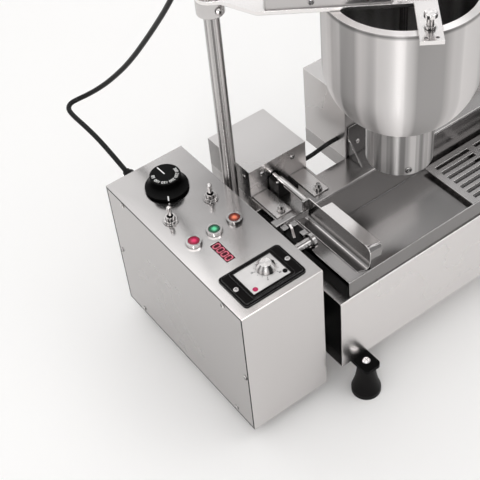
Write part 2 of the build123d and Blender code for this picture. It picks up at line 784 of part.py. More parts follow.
# Crossbar on the hopper rim, held by a thumb screw at each end
thumb_v = sqrt((hopper_radius - rim_width / 2) ** 2 - bar_offset ** 2)
thumb_points = [at_arm(bar_u, v, rim_z) for v in (-thumb_v, thumb_v)]
with BuildPart() as crossbar:
    arm_block(bar_u - bar_width / 2, bar_u + bar_width / 2, -bar_half_length, bar_half_length,
              rim_z, arm_top)
    for point in thumb_points:
        rod(point, UP, thumb_radius + hole_gap, arm_thickness, Mode.SUBTRACT)
    for v in (6 - bar_half_length, bar_half_length - 6):
        for u in (bar_u - 6, bar_u + 6):
            rod(at_arm(u, v, rim_z), UP, screw_radius, arm_thickness, Mode.SUBTRACT)
write(crossbar, "crossbar")


def thumb_screw(point):
    """A screw with a waisted mushroom head, through the crossbar and the hopper rim."""
    top = point + Vector(0, 0, arm_thickness)
    with BuildPart() as thumb:
        rod(point - Vector(0, 0, 10), UP, thumb_radius, arm_thickness + 11)
        rod(top + Vector(0, 0, 0.5), UP, 6, 3)
        rod(top + Vector(0, 0, 3.5), UP, 4, 11)
        rod(top + Vector(0, 0, 14.5), UP, 7.5, 5)
        fillet(thumb.edges().group_by(Axis.Z)[-1], 2)
    return thumb


thumb_screw_front = thumb_screw(thumb_points[0])
write(thumb_screw_front, "thumb_screw_front")
thumb_screw_back = thumb_screw(thumb_points[1])
write(thumb_screw_back, "thumb_screw_back")

# Head bracket: joins arm and crossbar and guides the plunger rod
bracket_u0 = head_end + slip_gap
bracket_half = 30.0
guide_top = arm_top + guide_height
with BuildPart() as head_bracket:
    arm_block(bracket_u0, bar_u + bar_width / 2, -bracket_half, bracket_half, arm_top, arm_top + 5)
    rod(at_arm(arm_length, 0, arm_top), UP, 2 * rod_radius, guide_top - arm_top)
    rod(at_arm(arm_length, 0, arm_top - 1), UP, rod_radius + running_gap, guide_top - arm_top + 2,
        Mode.SUBTRACT)
write(head_bracket, "head_bracket")

# Head cover and the gear motor that rocks the plunger lever
head_top = arm_top + head_height
head_screw_us = (head_start + head_screw_insets[0], head_end - head_screw_insets[1])
lever_window = 10.0
with BuildPart() as head_cover:
    arm_block(head_start, head_end, -head_half_width, head_half_width, arm_top, head_top)
    fillet(head_cover.edges().filter_by(Axis.Z), 3)
    fillet(head_cover.edges().group_by(Axis.Z)[-1], 2)
    arm_block(head_start + sheet, head_end - sheet, sheet - head_half_width,
              head_half_width - sheet, arm_top - 1, head_top - sheet, Mode.SUBTRACT)
    arm_block(head_end - 5, head_end + 5, -lever_window, lever_window, rocker_z - 30,
              rocker_z + 30, Mode.SUBTRACT)
    rod(head_entry - arm_plane.x_dir, arm_plane.x_dir, gland_tip_radius + hole_gap, 5,
        Mode.SUBTRACT)
    for u in head_screw_us:
        for side in (-1, 1):
            rod(at_arm(u, side * (head_half_width - 3), arm_top + head_screw_rise), arm_plane.y_dir * side,
                screw_radius + hole_gap, 5, Mode.SUBTRACT)
write(head_cover, "head_cover")

motor_v = rocker_half_width + 2.0
lever_shaft_length = 20.0
with BuildPart() as head_motor:
    arm_block(rocker_u - 45, rocker_u + 22, motor_v, head_half_width - 4, arm_top,
              rocker_z + 22)
    rod(at_arm(rocker_u, motor_v, rocker_z), arm_plane.y_dir, shaft_radius + running_gap,
        lever_shaft_length, Mode.SUBTRACT)
write(head_motor, "head_motor")

# Rocker lever with a fork slot for the plunger pin
lever_plane = Plane(at_arm(rocker_u, 0, rocker_z), x_dir=arm_plane.x_dir, z_dir=-arm_plane.y_dir)
with BuildPart() as rocker_lever:
    with BuildSketch(lever_plane):
        Circle(13)
        Polygon((0, -9), (rocker_length + 11, -8), (rocker_length + 11, 8), (0, 9), align=None)
        with Locations((rocker_length, 0)):
            SlotCenterToCenter(8, 2 * (pin_radius + pin_gap), mode=Mode.SUBTRACT)
    extrude(amount=rocker_half_width, both=True)
    rod(at_arm(rocker_u, 0, rocker_z), arm_plane.y_dir, shaft_radius,
        motor_v + lever_shaft_length - 2)
write(rocker_lever, "rocker_lever")

# Plunger: yoke and pin, rod, and the disc that closes the nozzle
cheek_inner = rocker_half_width + 0.7
disc_bottom = neck_bottom - 2.0
disc_height = 14.0
yoke_bottom = rocker_z - 20.0
with BuildPart() as plunger:
    rod((hopper_x, hopper_y, disc_bottom), UP, rod_radius, yoke_bottom + 1 - disc_bottom)
    rod((hopper_x, hopper_y, disc_bottom), UP, nozzle_radius - 0.08, disc_height)
    arm_block(arm_length - 7, arm_length + 7, -cheek_inner - 4, cheek_inner + 4, yoke_bottom,
              yoke_bottom + 6)
    for side in (-1, 1):
        near = min(side * cheek_inner, side * (cheek_inner + 4))
        arm_block(arm_length - 7, arm_length + 7, near, near + 4, yoke_bottom, rocker_z + 7)
    rod(at_arm(arm_length, -cheek_inner - 4, rocker_z), arm_plane.y_dir, pin_radius,
        2 * cheek_inner + 8)
write(plunger, "plunger")

# Hopper bowl: a round shell with a flat rim and a spigot that enters the neck
spigot_radius = neck_radius - neck_wall - hole_gap
neck_joint = bowl_z - sqrt(hopper_radius ** 2 - (neck_radius - neck_wall) ** 2)
inner_radius = hopper_radius - hopper_wall
with BuildPart() as hopper_bowl:
    with Locations((hopper_x, hopper_y, bowl_z)):
        Sphere(hopper_radius)
        Cylinder(hopper_radius, rim_z - bowl_z, align=STAND)
    rod((hopper_x, hopper_y, neck_joint - 14), UP, spigot_radius, 20)
    with Locations((hopper_x, hopper_y, bowl_z)):
        Sphere(inner_radius, mode=Mode.SUBTRACT)
        Cylinder(inner_radius, rim_z - bowl_z - 2 * hopper_wall, align=STAND, mode=Mode.SUBTRACT)
        Cylinder(hopper_radius - rim_width, rim_z - bowl_z + 1, align=STAND, mode=Mode.SUBTRACT)
    rod((hopper_x, hopper_y, neck_joint - 15), UP, spigot_radius - hopper_wall, 40, Mode.SUBTRACT)
    for point in thumb_points:
        rod(point - Vector(0, 0, 8), UP, thumb_radius + hole_gap, 9, Mode.SUBTRACT)
write(hopper_bowl, "hopper_bowl")

# Neck with the nozzle ring in its bottom
neck_screw_direction = Vector(-0.45, -0.88, 0).normalized()
neck_screw_z = neck_bottom + 8.0
with BuildPart() as hopper_neck:
    ring(hopper_x, hopper_y, neck_bottom, neck_joint, neck_radius, neck_radius - neck_wall)
    with Locations((hopper_x, hopper_y, neck_bottom)):
        Cylinder(neck_radius - 1, nozzle_height, align=STAND)
        Cylinder(nozzle_radius, nozzle_height, align=STAND, mode=Mode.SUBTRACT)
    rod((hopper_x, hopper_y, neck_screw_z), neck_screw_direction, bolt_radius + hole_gap,
        neck_radius + 5, Mode.SUBTRACT)
write(hopper_neck, "hopper_neck")

# Set screws of the clamp collar and the neck
with BuildPart() as set_screws:
    screw((post_x, post_y - collar_radius, collar_z + collar_height / 2), FRONT, bolt_radius, 4.5,
          4, collar_radius - post_radius - running_gap)
    screw(Vector(hopper_x, hopper_y, neck_screw_z) + neck_screw_direction * neck_radius,
          neck_screw_direction, bolt_radius, 4.5, 1.5, neck_radius - nozzle_radius - 2)
write(set_screws, "set_screws")

# Drive covers, one for the pusher and one for each grid, with their motors and studs
cover_screw_z = cover_top - cover_screw_drop
cover_screw_xs = [
    x for left in cover_lefts
    for x in (left + cover_screw_insets[0], left + cover_size[0] - cover_screw_insets[1])
]
with BuildPart() as drive_covers:
    for x, left in zip(drive_xs, cover_lefts):
        with Locations((left + cover_size[0] / 2, cover_front + cover_size[1] / 2, deck_top)):
            Box(*cover_size, align=STAND)
        block(left + sheet, left + cover_size[0] - sheet, cover_front + sheet, cover_back - sheet,
              deck_top - 1, cover_top - sheet, Mode.SUBTRACT)
        for tab in cover_tabs:
            block(left + tab[0], left + tab[1], tab_front, cover_front + sheet, deck_top,
                  deck_top + plate)
        rod((x, cover_front - 1, shaft_z), BACK, shaft_radius + slip_gap, 5, Mode.SUBTRACT)
        rod((left - 1, cover_front + side_cover_screw, cover_screw_z), RIGHT,
            screw_radius + hole_gap, 5, Mode.SUBTRACT)
    for x in cover_screw_xs:
        rod((x, cover_front - 1, cover_screw_z), BACK, screw_radius + hole_gap, 5, Mode.SUBTRACT)
    for x, y in stud_points:
        rod((x, y, deck_top - 1), UP, stud_radius + hole_gap, plate + 2, Mode.SUBTRACT)
write(drive_covers, "drive_covers")

motor_shafts = (stub_radius, shaft_radius, shaft_radius)
with BuildPart() as drive_motors:
    for x, left, radius in zip(drive_xs, cover_lefts, motor_shafts):
        block(left + motor_gap, left + cover_size[0] - motor_gap, motor_front,
              cover_back - motor_gap, deck_top, cover_top - motor_gap / 2)
        rod((x, motor_front, shaft_z), BACK, radius + running_gap, shaft_depth, Mode.SUBTRACT)
write(drive_motors, "drive_motors")

with BuildPart() as drive_studs:
    for x, y in stud_points:
        rod((x, y, pan_rim - 5), UP, stud_radius, 5 + 2 * plate + 2 * nut_height)
        with BuildSketch(Plane.XY.offset(deck_top + plate)):
            with Locations((x, y)):
                RegularPolygon(nut_flats / 2, 6, major_radius=False)
        extrude(amount=nut_height)
write(drive_studs, "drive_studs")

# Pusher: a stub and a tube, a saddle bearing on the deck and a folded blade
blade_front = pan_front + blade_front_gap
blade_rear = deck_front - blade_rear_gap
tube_end = cover_front - tube_reach
with BuildPart() as pusher_shaft:
    rod((pusher_x, blade_rear, shaft_z), BACK, shaft_radius, tube_end - blade_rear)
    rod((pusher_x, tube_end, shaft_z), BACK, stub_radius, motor_front + shaft_depth - 2 - tube_end)
write(pusher_shaft, "pusher_shaft")

bearing_y0, bearing_y1 = cover_front - bearing_near, cover_front - bearing_far
bearing_top = shaft_z + bearing_open
bearing_half = shaft_radius + bearing_side
bearing_screw = (pusher_x - shaft_radius - bearing_side / 2, bearing_y0 + bearing_screw_inset, bearing_top)
with BuildPart() as pusher_bearing:
    block(pusher_x - bearing_half, pusher_x + shaft_radius + bearing_base_side, bearing_y0, bearing_y1,
          deck_top, deck_top + bearing_base_height)
    block(pusher_x - bearing_half, pusher_x + bearing_half, bearing_y0, bearing_y1, deck_top,
          bearing_top)
    rod((pusher_x, bearing_y0 - 1, shaft_z), BACK, shaft_radius + running_gap,
        bearing_y1 - bearing_y0 + 2, Mode.SUBTRACT)
    rod(bearing_screw, DOWN, bearing_screw_radius + hole_gap, screw_length + 1, Mode.SUBTRACT)
write(pusher_bearing, "pusher_bearing")

with BuildPart() as pusher_blade:
    with BuildSketch(Plane((pusher_x, blade_rear, shaft_z), x_dir=RIGHT, z_dir=FRONT)):
        with BuildLine():
            Polyline(blade_left, blade_crease, blade_crest, blade_flange)
        trace(line_width=blade_sheet)
        with Locations(blade_crease, blade_crest):
            Circle(blade_sheet / 2)
    extrude(amount=blade_rear - blade_front)
    crease = (pusher_x + blade_crease[0] - blade_sheet / 2, (blade_front + blade_rear) / 2,
              shaft_z + blade_crease[1] + blade_sheet)
    fillet(pusher_blade.edges().filter_by(Axis.Y).sort_by_distance(crease)[0], blade_fold)
    crest_x, crest_z = pusher_x + blade_crest[0], shaft_z + blade_crest[1]
    flange_x, flange_z = pusher_x + blade_flange[0], shaft_z + blade_flange[1]
    block(crest_x + blade_sheet / 2, flange_x + 1, deck_front - blade_flange_gap, blade_rear + 1,
          flange_z - 5, crest_z + 5, Mode.SUBTRACT)
    bend_y, bend_z = blade_front + blade_bend, crest_z + blade_sheet / 2 - blade_bend
    with BuildSketch(Plane((pusher_x - blade_bend, 0, 0), x_dir=BACK, z_dir=RIGHT)):
        with Locations((bend_y, bend_z)):
            Rectangle(2 * blade_bend, 2 * blade_bend, align=(Align.MAX, Align.MIN))
            Circle(blade_bend - blade_sheet / 4, mode=Mode.SUBTRACT)
    extrude(amount=2 * blade_bend + blade_flange[0], mode=Mode.SUBTRACT)
    fold = Plane((crest_x, blade_front, crest_z), x_dir=BACK,
                 z_dir=(flange_x - crest_x, 0, flange_z - crest_z))
    with BuildSketch(fold):
        with BuildLine():
            middle = blade_sheet / 2
            FilletPolyline((blade_bend + middle, 0), (middle, 0), (middle, -blade_tab_drop),
                           radius=blade_bend - middle)
        trace(line_width=blade_sheet)
    extrude(amount=hypot(flange_x - crest_x, flange_z - crest_z))
    block(pusher_x - blade_plate_left, crest_x + blade_sheet / 2, blade_rear,
          blade_rear + blade_plate, shaft_z - blade_plate_drop, crest_z)
    rod((pusher_x, blade_rear, shaft_z), BACK, shaft_radius + running_gap, blade_plate + 1,
        Mode.SUBTRACT)
write(pusher_blade, "pusher_blade")

# Bearings of the two grids, saddled on the front wall of the pan
bearing_back = pan_front + sheet + 2.0
bearing_front = pan_front - pan_front_gap + 1.0
with BuildPart() as grid_bearings:
    for x in hinge_xs:
        block(x - 9, x + 9, bearing_front, bearing_back, casing_top + 6, shaft_z)
        rod((x, bearing_front, shaft_z), BACK, 9, bearing_back - bearing_front)
        block(x - 10, x + 10, pan_front, pan_front + sheet, casing_top + 5, pan_rim, Mode.SUBTRACT)
        rod((x, bearing_front - 1, shaft_z), BACK, shaft_radius + running_gap, 20, Mode.SUBTRACT)
write(grid_bearings, "grid_bearings")

grid_front = pan_front + sheet + grid_side_gap
grid_back = deck_front - grid_side_gap


def hinged_grid(hinge_x):
    """A slotted plate hung by two arms from its shaft."""
    left = hinge_x - grid_length
    right = hinge_x - 15.0
    bottom = shaft_z - grid_drop - plate
    middle_y = (grid_front + grid_back) / 2
    with BuildPart() as grid:
        block(left, right, grid_front, grid_back, bottom, bottom + plate)
        for column in (0, 1):
            slot_left = left + grid_border + column * (grid_slot_length + grid_border)
            for row in range(grid_slot_count):
                slot_y = middle_y + (row - (grid_slot_count - 1) / 2) * grid_slot_pitch
                block(slot_left, slot_left + grid_slot_length,
                      slot_y - grid_slot_width / 2, slot_y + grid_slot_width / 2,
                      bottom - 1, bottom + plate + 1, Mode.SUBTRACT)
        for y in (grid_front + grid_arm, grid_back):
            with BuildSketch(Plane((hinge_x, y, shaft_z), x_dir=RIGHT, z_dir=FRONT)):
                Circle(grid_hub_radius)
                Polygon((-9, 0), (9, 0), (-15, bottom - shaft_z), (-60, bottom - shaft_z),
                        (-60, bottom - shaft_z + 8), align=None)
            extrude(amount=grid_arm)
        rod((hinge_x, bearing_front, shaft_z), BACK, shaft_radius,
            motor_front + shaft_depth - 2 - bearing_front)
    return grid


turning_grid = hinged_grid(hinge_xs[0])
write(turning_grid, "turning_grid")
lifting_grid = hinged_grid(hinge_xs[1])
write(lifting_grid, "lifting_grid")

# Terminal box behind the hopper with its bracket on the deck
terminal_screw_x = terminal_left + terminal_screw[0]
terminal_screw_z = deck_top + terminal_screw[1]
with BuildPart() as terminal_box:
    with Locations((terminal_left + terminal_size[0] / 2, terminal_front + terminal_size[1] / 2,
                    deck_top)):
        Box(*terminal_size, align=STAND)
    fillet(terminal_box.edges().filter_by(Axis.Z), 1)
    block(terminal_left + sheet, terminal_left + terminal_size[0] - sheet, terminal_front + sheet,
          terminal_front + terminal_size[1] - sheet, deck_top - 1,
          deck_top + terminal_size[2] - sheet, Mode.SUBTRACT)
    rod((terminal_screw_x, terminal_front - 1, terminal_screw_z), BACK, screw_radius + hole_gap, 5,
        Mode.SUBTRACT)
write(terminal_box, "terminal_box")

terminal_bracket_left = terminal_left + terminal_bracket_inset
with BuildPart() as terminal_bracket:
    block(terminal_bracket_left, terminal_bracket_left + terminal_bracket_size[0],
          terminal_front - plate, terminal_front, deck_top, deck_top + terminal_bracket_size[1])
    with BuildSketch(Plane((terminal_bracket_left, terminal_front, deck_top), x_dir=BACK,
                           z_dir=RIGHT)):
        Polygon((-plate, 0), (-gusset_size[0], 0), (-plate, gusset_size[1]), align=None)
    extrude(amount=plate)
    rod((terminal_screw_x, terminal_front + 1, terminal_screw_z), FRONT, screw_radius + hole_gap,
        5, Mode.SUBTRACT)
write(terminal_bracket, "terminal_bracket")

# Short lead from the pusher drive to the terminal box
lead_start = (pusher_cover_left + cover_size[0], cover_front + 8, deck_top + 6)
lead_end = (terminal_left, cover_front - 4, deck_top + 24)
lead_points = [
    lead_start,
    (lead_start[0] + 0.3 * (lead_end[0] - lead_start[0]), lead_start[1], lead_start[2]),
    (lead_start[0] + 0.7 * (lead_end[0] - lead_start[0]), lead_end[1], lead_end[2]),
    lead_end,
]


def bend_radii(points):
    """A radius for every inner point, from its turn and its shorter run."""
    radii = []
    for before, here, after in zip(points, points[1:], points[2:]):
        first = Vector(*here) - Vector(*before)
        second = Vector(*after) - Vector(*here)
        turn = radians(first.get_angle(second))
        radii.append(0.45 * min(first.length, second.length) / tan(turn / 2))
    return radii


def cord(points, radius):
    """A round cord along straight runs with rounded turns."""
    with BuildPart() as tube:
        with BuildLine():
            route = FilletPolyline(*points, radius=bend_radii(points))
        with BuildSketch(Plane(points[0], z_dir=route % 0)):
            Circle(radius)
        sweep()
    print("cord radii", [round(r, 1) for r in bend_radii(points)], "length", round(route.length, 1),
          "volume share", round(tube.part.volume / (pi * radius ** 2 * route.length), 4))
    return tube


link_cable = cord(lead_points, lead_radius)
write(link_cable, "link_cable")

# Head cable: from the control box's back gland, out and up to the back of the head cover
cable_start = Vector(*head_gland) + Vector(0, gland_length, 0)
cable_end = head_entry - arm_plane.x_dir * gland_length
head_cable_points = [
    tuple(cable_start),
    (-480.5, 208, 243),
    (-482.6, 240, 254),
    (-485.3, 270, 260.5),
    (-488, 296, 264),
    (-487.5, 312, 266.5),
    (-479, 319, 268.5),
    (-467, 315.5, 271.5),
    (-455, 304, 280.5),
    (-444, 288, 295),
    (-432, 269, 315),
    (-417, 238, 352),
    (-401, 195, 414),
    (-394, 150, 476),
    (-390, 118, 528),
    (-376, 82, 563),
    tuple(cable_end),
]
head_cable = cord(head_cable_points, cable_radius)
write(head_cable, "head_cable")

# Oil temperature sensor: conduit over the pan's left rim and a bulb inside the pan
conduit_end = pan_left + conduit_reach
bulb_z = pan_bottom + sheet + 2 * bulb_radius
with BuildPart() as sensor_conduit:
    rod((box_right - sheet, conduit_y, conduit_z), RIGHT, conduit_radius,
        conduit_end - box_right + sheet)
    rod((conduit_end - conduit_nut_length, conduit_y, conduit_z), RIGHT, conduit_nut_radius,
        conduit_nut_length)
    rod((conduit_end - conduit_nut_length / 2, conduit_y, bulb_z), UP, bulb_radius / 2,
        conduit_z - bulb_z)
    rod((conduit_end - conduit_nut_length / 2, conduit_y + bulb_radius, bulb_z), FRONT, bulb_radius,
        bulb_length)
write(sensor_conduit, "sensor_conduit")

# Black clamp block on the pan's left rim
clip_left = pan_left - clip_overhang
clip_front = conduit_y + conduit_radius + clip_gap - slip_gap
clip_top = pan_rim + clip_size[2]
with BuildPart() as sensor_clip:
    with Locations((clip_left, clip_front, pan_rim)):
        Box(*clip_size, align=(Align.MIN, Align.MIN, Align.MIN))
    fillet(sensor_clip.edges().filter_by(Axis.Z), bend_radius)
write(sensor_clip, "sensor_clip")

# Exit chute hooked over the right wall of the pan
chute_left = pan_right - 40.0
chute_end = overall_length / 2
chute_high = pan_rim + 12.0
chute_low = pan_rim - 39.0
chute_side = 22.0
chute_front = pan_front + sheet + 3.0
chute_back = deck_front - 3.0
slope = (chute_low - chute_high) / (chute_end - chute_left)


def chute_profile(height):
    """A sloping strip of the given height along the chute."""
    return [(chute_left, chute_high), (chute_end, chute_low), (chute_end, chute_low + height),
            (chute_left, chute_high + height)]


with BuildPart() as exit_chute:
    with BuildSketch(Plane((0, chute_back, 0), x_dir=RIGHT, z_dir=FRONT)):
        Polygon(*chute_profile(chute_side), align=None)
    extrude(amount=chute_back - chute_front)
    with BuildSketch(Plane((0, chute_back - sheet, 0), x_dir=RIGHT, z_dir=FRONT)):
        Polygon(*[(x, z + sheet) for x, z in chute_profile(chute_side + 5)], align=None)
    extrude(amount=chute_back - chute_front - 2 * sheet, mode=Mode.SUBTRACT)
    block(pan_right, pan_right + plate, chute_front, chute_back, casing_top,
          chute_high + slope * (pan_right - chute_left) + sheet / 2)
write(exit_chute, "exit_chute")

# Small fasteners: screws of the covers, the side panel, the timer frame, the bearing and the
# terminal bracket, and square nuts on the clamp block
with BuildPart() as cover_screws:
    for y, z in side_screw_points:
        screw((box_left, y, z), LEFT, screw_radius, screw_head_radius, screw_head_height,
              screw_length)
    for x in timer_screw_xs:
        screw((x, timer_y, box_top + timer_rim_height), UP, screw_radius, screw_head_radius,
              screw_head_height, screw_length)
    for u in head_screw_us:
        for side in (-1, 1):
            screw(at_arm(u, side * head_half_width, arm_top + head_screw_rise),
                  arm_plane.y_dir * side, screw_radius, screw_head_radius, screw_head_height, 3)
    for x in cover_screw_xs:
        screw((x, cover_front, cover_screw_z), FRONT, screw_radius, screw_head_radius,
              screw_head_height, screw_length)
    for left in cover_lefts:
        screw((left, cover_front + side_cover_screw, cover_screw_z), LEFT, screw_radius,
              screw_head_radius, screw_head_height, screw_length)
    screw(bearing_screw, UP, bearing_screw_radius, bearing_screw_head, screw_head_height,
          screw_length)
    screw((terminal_screw_x, terminal_front - plate, terminal_screw_z), FRONT, screw_radius,
          screw_head_radius, screw_head_height, screw_length)
    with Locations(*[(clip_left + x, clip_front + y, clip_top) for x, y in clip_nut_places]):
        Box(clip_nut, clip_nut, clip_nut_height, align=STAND)
write(cover_screws, "cover_screws")
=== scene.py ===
import math

import bmesh
import bpy
from mathutils import Matrix, Vector


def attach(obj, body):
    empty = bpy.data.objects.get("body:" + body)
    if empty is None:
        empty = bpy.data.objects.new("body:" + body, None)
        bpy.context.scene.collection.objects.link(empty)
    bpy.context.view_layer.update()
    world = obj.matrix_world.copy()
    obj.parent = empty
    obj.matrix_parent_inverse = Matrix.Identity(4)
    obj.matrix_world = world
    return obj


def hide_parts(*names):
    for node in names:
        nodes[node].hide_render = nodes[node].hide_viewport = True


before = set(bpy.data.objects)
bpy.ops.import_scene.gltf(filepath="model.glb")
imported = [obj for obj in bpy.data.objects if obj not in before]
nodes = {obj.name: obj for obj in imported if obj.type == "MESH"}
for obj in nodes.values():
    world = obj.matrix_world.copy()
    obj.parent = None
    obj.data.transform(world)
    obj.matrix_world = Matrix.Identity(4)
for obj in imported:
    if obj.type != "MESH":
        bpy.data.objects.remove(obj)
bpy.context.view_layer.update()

# Looks of the mini donut machine, in metres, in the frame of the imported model:
# +X along the pan, +Y to the back, +Z up, the floor at zero.


def placed(name, data):
    """A new object in the scene that shows this data."""
    made = bpy.data.objects.new(name, data)
    bpy.context.collection.objects.link(made)
    return made


# Camera: its place, its turns in degrees, its lens and sensor in millimetres, and how far it sees
CAMERA_PLACE = (-0.93956, -0.82986, 1.21068)
CAMERA_AZIMUTH, CAMERA_ELEVATION, CAMERA_ROLL = -31.73, 45.75, -6.54
CAMERA_LENS, CAMERA_SENSOR = 82.355, 36
CAMERA_REACH = 300


def camera():
    """The camera at the photograph's place and angle."""
    azimuth, elevation, roll = (math.radians(a) for a in (CAMERA_AZIMUTH, CAMERA_ELEVATION, CAMERA_ROLL))
    right = Vector((math.cos(azimuth), math.sin(azimuth), 0))
    back = Vector((math.sin(azimuth) * math.cos(elevation), -math.cos(azimuth) * math.cos(elevation),
                   math.sin(elevation)))
    up = back.cross(right)
    turned_right = right * math.cos(roll) + up * math.sin(roll)
    turned_up = up * math.cos(roll) - right * math.sin(roll)
    data = bpy.data.cameras.new("camera")
    data.lens = CAMERA_LENS
    data.sensor_width = CAMERA_SENSOR
    data.clip_end = CAMERA_REACH
    made = placed("camera", data)
    turn = Matrix((turned_right, turned_up, back)).transposed().to_4x4()
    made.matrix_world = Matrix.Translation(CAMERA_PLACE) @ turn
    bpy.context.scene.camera = made


# Where a noise is taken to be at its low and at its high
NOISE_LOW, NOISE_HIGH = 0.3, 0.7

# The upward part of the normal where a face starts to count as one that looks up, and counts in full. Faces
# that look up get a painted top brightness: painted light.
UP_LEVEL = (0.3, 0.8)

# The same for a face that looks left, on a scale from 0 to 1. Faces that look left may get painted shade.
LEFT_LEVEL = (0.8, 0.9)

# How like the softened normal is to the true one on an edge, and on a flat face
EDGE_LIKENESS, FLAT_LIKENESS = 0.86, 0.985

# How open a place is in the middle of a seam, where the painted shade is full, and beside it, where it ends
PAINTED_SHADE_OPEN, BESIDE_OPEN = 0.25, 0.85

# Rays that the softened normal and the painted shade in seams are worked out from
SOFT_SAMPLES, PAINTED_SHADE_SAMPLES = 4, 6


class Nodes:
    """A short way to write a material's node tree."""

    def __init__(self, tree):
        self.tree = tree
        tree.nodes.clear()

    def add(self, kind, **values):
        node = self.tree.nodes.new(kind)
        for name, value in values.items():
            setattr(node, name, value)
        return node

    def link(self, out, into):
        self.tree.links.new(out, into)

    def math(self, operation, first, second=None, third=None):
        node = self.add("ShaderNodeMath", operation=operation)
        for i, value in enumerate((first, second, third)):
            if value is None:
                continue
            if isinstance(value, (int, float)):
                node.inputs[i].default_value = value
            else:
                self.link(value, node.inputs[i])
        return node.outputs[0]

    def ramp(self, value, *stops):
        """A colour by a value. Each stop is a place and a colour or a grey."""
        node = self.add("ShaderNodeValToRGB")
        ramp = node.color_ramp
        while len(ramp.elements) < len(stops):
            ramp.elements.new(0.5)
        for element, (place, colour) in zip(ramp.elements, stops):
            element.position = place
            grey = isinstance(colour, (int, float))
            element.color = (colour, colour, colour, 1) if grey else (*colour, 1)
        self.link(value, node.inputs[0])
        return node.outputs[0]

    def spread(self, noise, low, high):
        """A colour or grey that a noise draws out between a low and a high one."""
        return self.ramp(noise, (NOISE_LOW, low), (NOISE_HIGH, high))

    def roughness(self, noise, rough, below, above):
        """A roughness that a noise moves by two small steps."""
        return self.spread(noise, rough + below, rough + above)

    def noise(self, scale, detail=3.0, stretch=(1, 1, 1), roughness=0.5):
        place = self.add("ShaderNodeTexCoord").outputs["Object"]
        mapping = self.add("ShaderNodeMapping")
        mapping.inputs["Scale"].default_value = stretch
        self.link(place, mapping.inputs["Vector"])
        noise = self.add("ShaderNodeTexNoise")
        noise.inputs["Scale"].default_value = scale
        noise.inputs["Detail"].default_value = detail
        noise.inputs["Roughness"].default_value = roughness
        self.link(mapping.outputs[0], noise.inputs["Vector"])
        return noise.outputs["Fac"]

    def axes(self, kind):
        """The X, Y and Z of a place or of a normal."""
        split = self.add("ShaderNodeSeparateXYZ")
        self.link(self.add("ShaderNodeTexCoord").outputs[kind], split.inputs[0])
        return split.outputs

    def soft_normal(self, radius):
        """The surface normal with edges rounded off by a small radius."""
        node = self.add("ShaderNodeBevel", samples=SOFT_SAMPLES)
        node.inputs["Radius"].default_value = radius
        return node.outputs[0]

    def bump(self, height, normal, strength, distance):
        """A bumped normal over another normal."""
        node = self.add("ShaderNodeBump")
        node.inputs["Strength"].default_value = strength
        node.inputs["Distance"].default_value = distance
        self.link(height, node.inputs["Height"])
        self.link(normal, node.inputs["Normal"])
        return node.outputs[0]

    def looking_up(self, level=UP_LEVEL):
        """A share that is 0 on walls and undersides and 1 on faces that look up."""
        start, full = level
        return self.ramp(self.axes("Normal")["Z"], (start, 0.0), (full, 1.0))

    def looking_left(self):
        """A share that is 1 on faces that look to the left and 0 on the others."""
        start, full = LEFT_LEVEL
        half = 0.5
        left = self.math("MULTIPLY_ADD", self.axes("Normal")["X"], -half, half)
        return self.ramp(left, (start, 0.0), (full, 1.0))

    def edges(self, soft):
        """A share that is 1 along the edges that a softened normal rounds and 0 on flat faces."""
        likeness = self.add("ShaderNodeVectorMath", operation="DOT_PRODUCT")
        self.link(soft, likeness.inputs[0])
        self.link(self.add("ShaderNodeNewGeometry").outputs["True Normal"], likeness.inputs[1])
        return self.ramp(likeness.outputs["Value"], (EDGE_LIKENESS, 1.0), (FLAT_LIKENESS, 0.0))

    def mixed(self, blend, share, first, second):
        """Two colours mixed by a share. Each of the three is a socket or a plain value."""
        node = self.add("ShaderNodeMix", data_type="RGBA", blend_type=blend)
        for name, value in (("Factor", share), ("A", first), ("B", second)):
            if isinstance(value, bpy.types.NodeSocket):
                self.link(value, node.inputs[name])
            else:
                node.inputs[name].default_value = value if name == "Factor" else (*value, 1)
        return node.outputs["Result"]

    def shaded(self, colour, reach, floor, share=1.0):
        """A colour with painted shade: it darkens to a part of itself in seams and corners within a reach."""
        nearby = self.add("ShaderNodeAmbientOcclusion", samples=PAINTED_SHADE_SAMPLES)
        nearby.inputs["Distance"].default_value = reach
        dark = self.ramp(nearby.outputs["AO"], (PAINTED_SHADE_OPEN, floor), (BESIDE_OPEN, 1.0))
        return self.mixed("MULTIPLY", share, colour, dark)


def shader(name, **sockets):
    """A new material with one Principled shader, its plain sockets set."""
    material = bpy.data.materials.new(name)
    material.use_nodes = True
    tree = Nodes(material.node_tree)
    surface = tree.add("ShaderNodeBsdfPrincipled")
    out = tree.add("ShaderNodeOutputMaterial")
    tree.link(surface.outputs[0], out.inputs["Surface"])
    for socket, value in sockets.items():
        surface.inputs[socket.replace("_", " ")].default_value = value
    return material, tree, surface


def clad(tree, surface, colour, rough, normal):
    """Link a colour, a roughness and a normal to a shader."""
    for socket, value in (("Base Color", colour), ("Roughness", rough), ("Normal", normal)):
        tree.link(value, surface.inputs[socket])


# Metals: their tint, the brightness of the painted highlight along edges, and the reach and darkness of the
# painted shade in seams and corners
STEEL_TINT = (1.0, 0.968, 0.957)
PAINTED_EDGE_HIGHLIGHT = 0.95
PAINTED_SHADE_REACH, PAINTED_SHADE_FLOOR = 0.004, 0.12


def tinted(shade):
    """The colour of steel of this brightness."""
    return tuple(shade * part for part in STEEL_TINT)


# Sheet steel: brush lines, cloudy marks, how far they move its roughness, the lines' height, and the way
# along which a painted sheen brightens
BRUSH_STRETCH = 0.01
SHEET_LINES = {"scale": 2600, "detail": 3, "roughness": 0.6}
SHEET_MARKS = {"scale": 7, "detail": 4}
SHEET_ROUGHNESS = (-0.03, 0.04)
SHEET_BUMP = (0.012, 0.0001)
PAINTED_SHEEN_WAY = (-1.0, -0.35, 0.0)


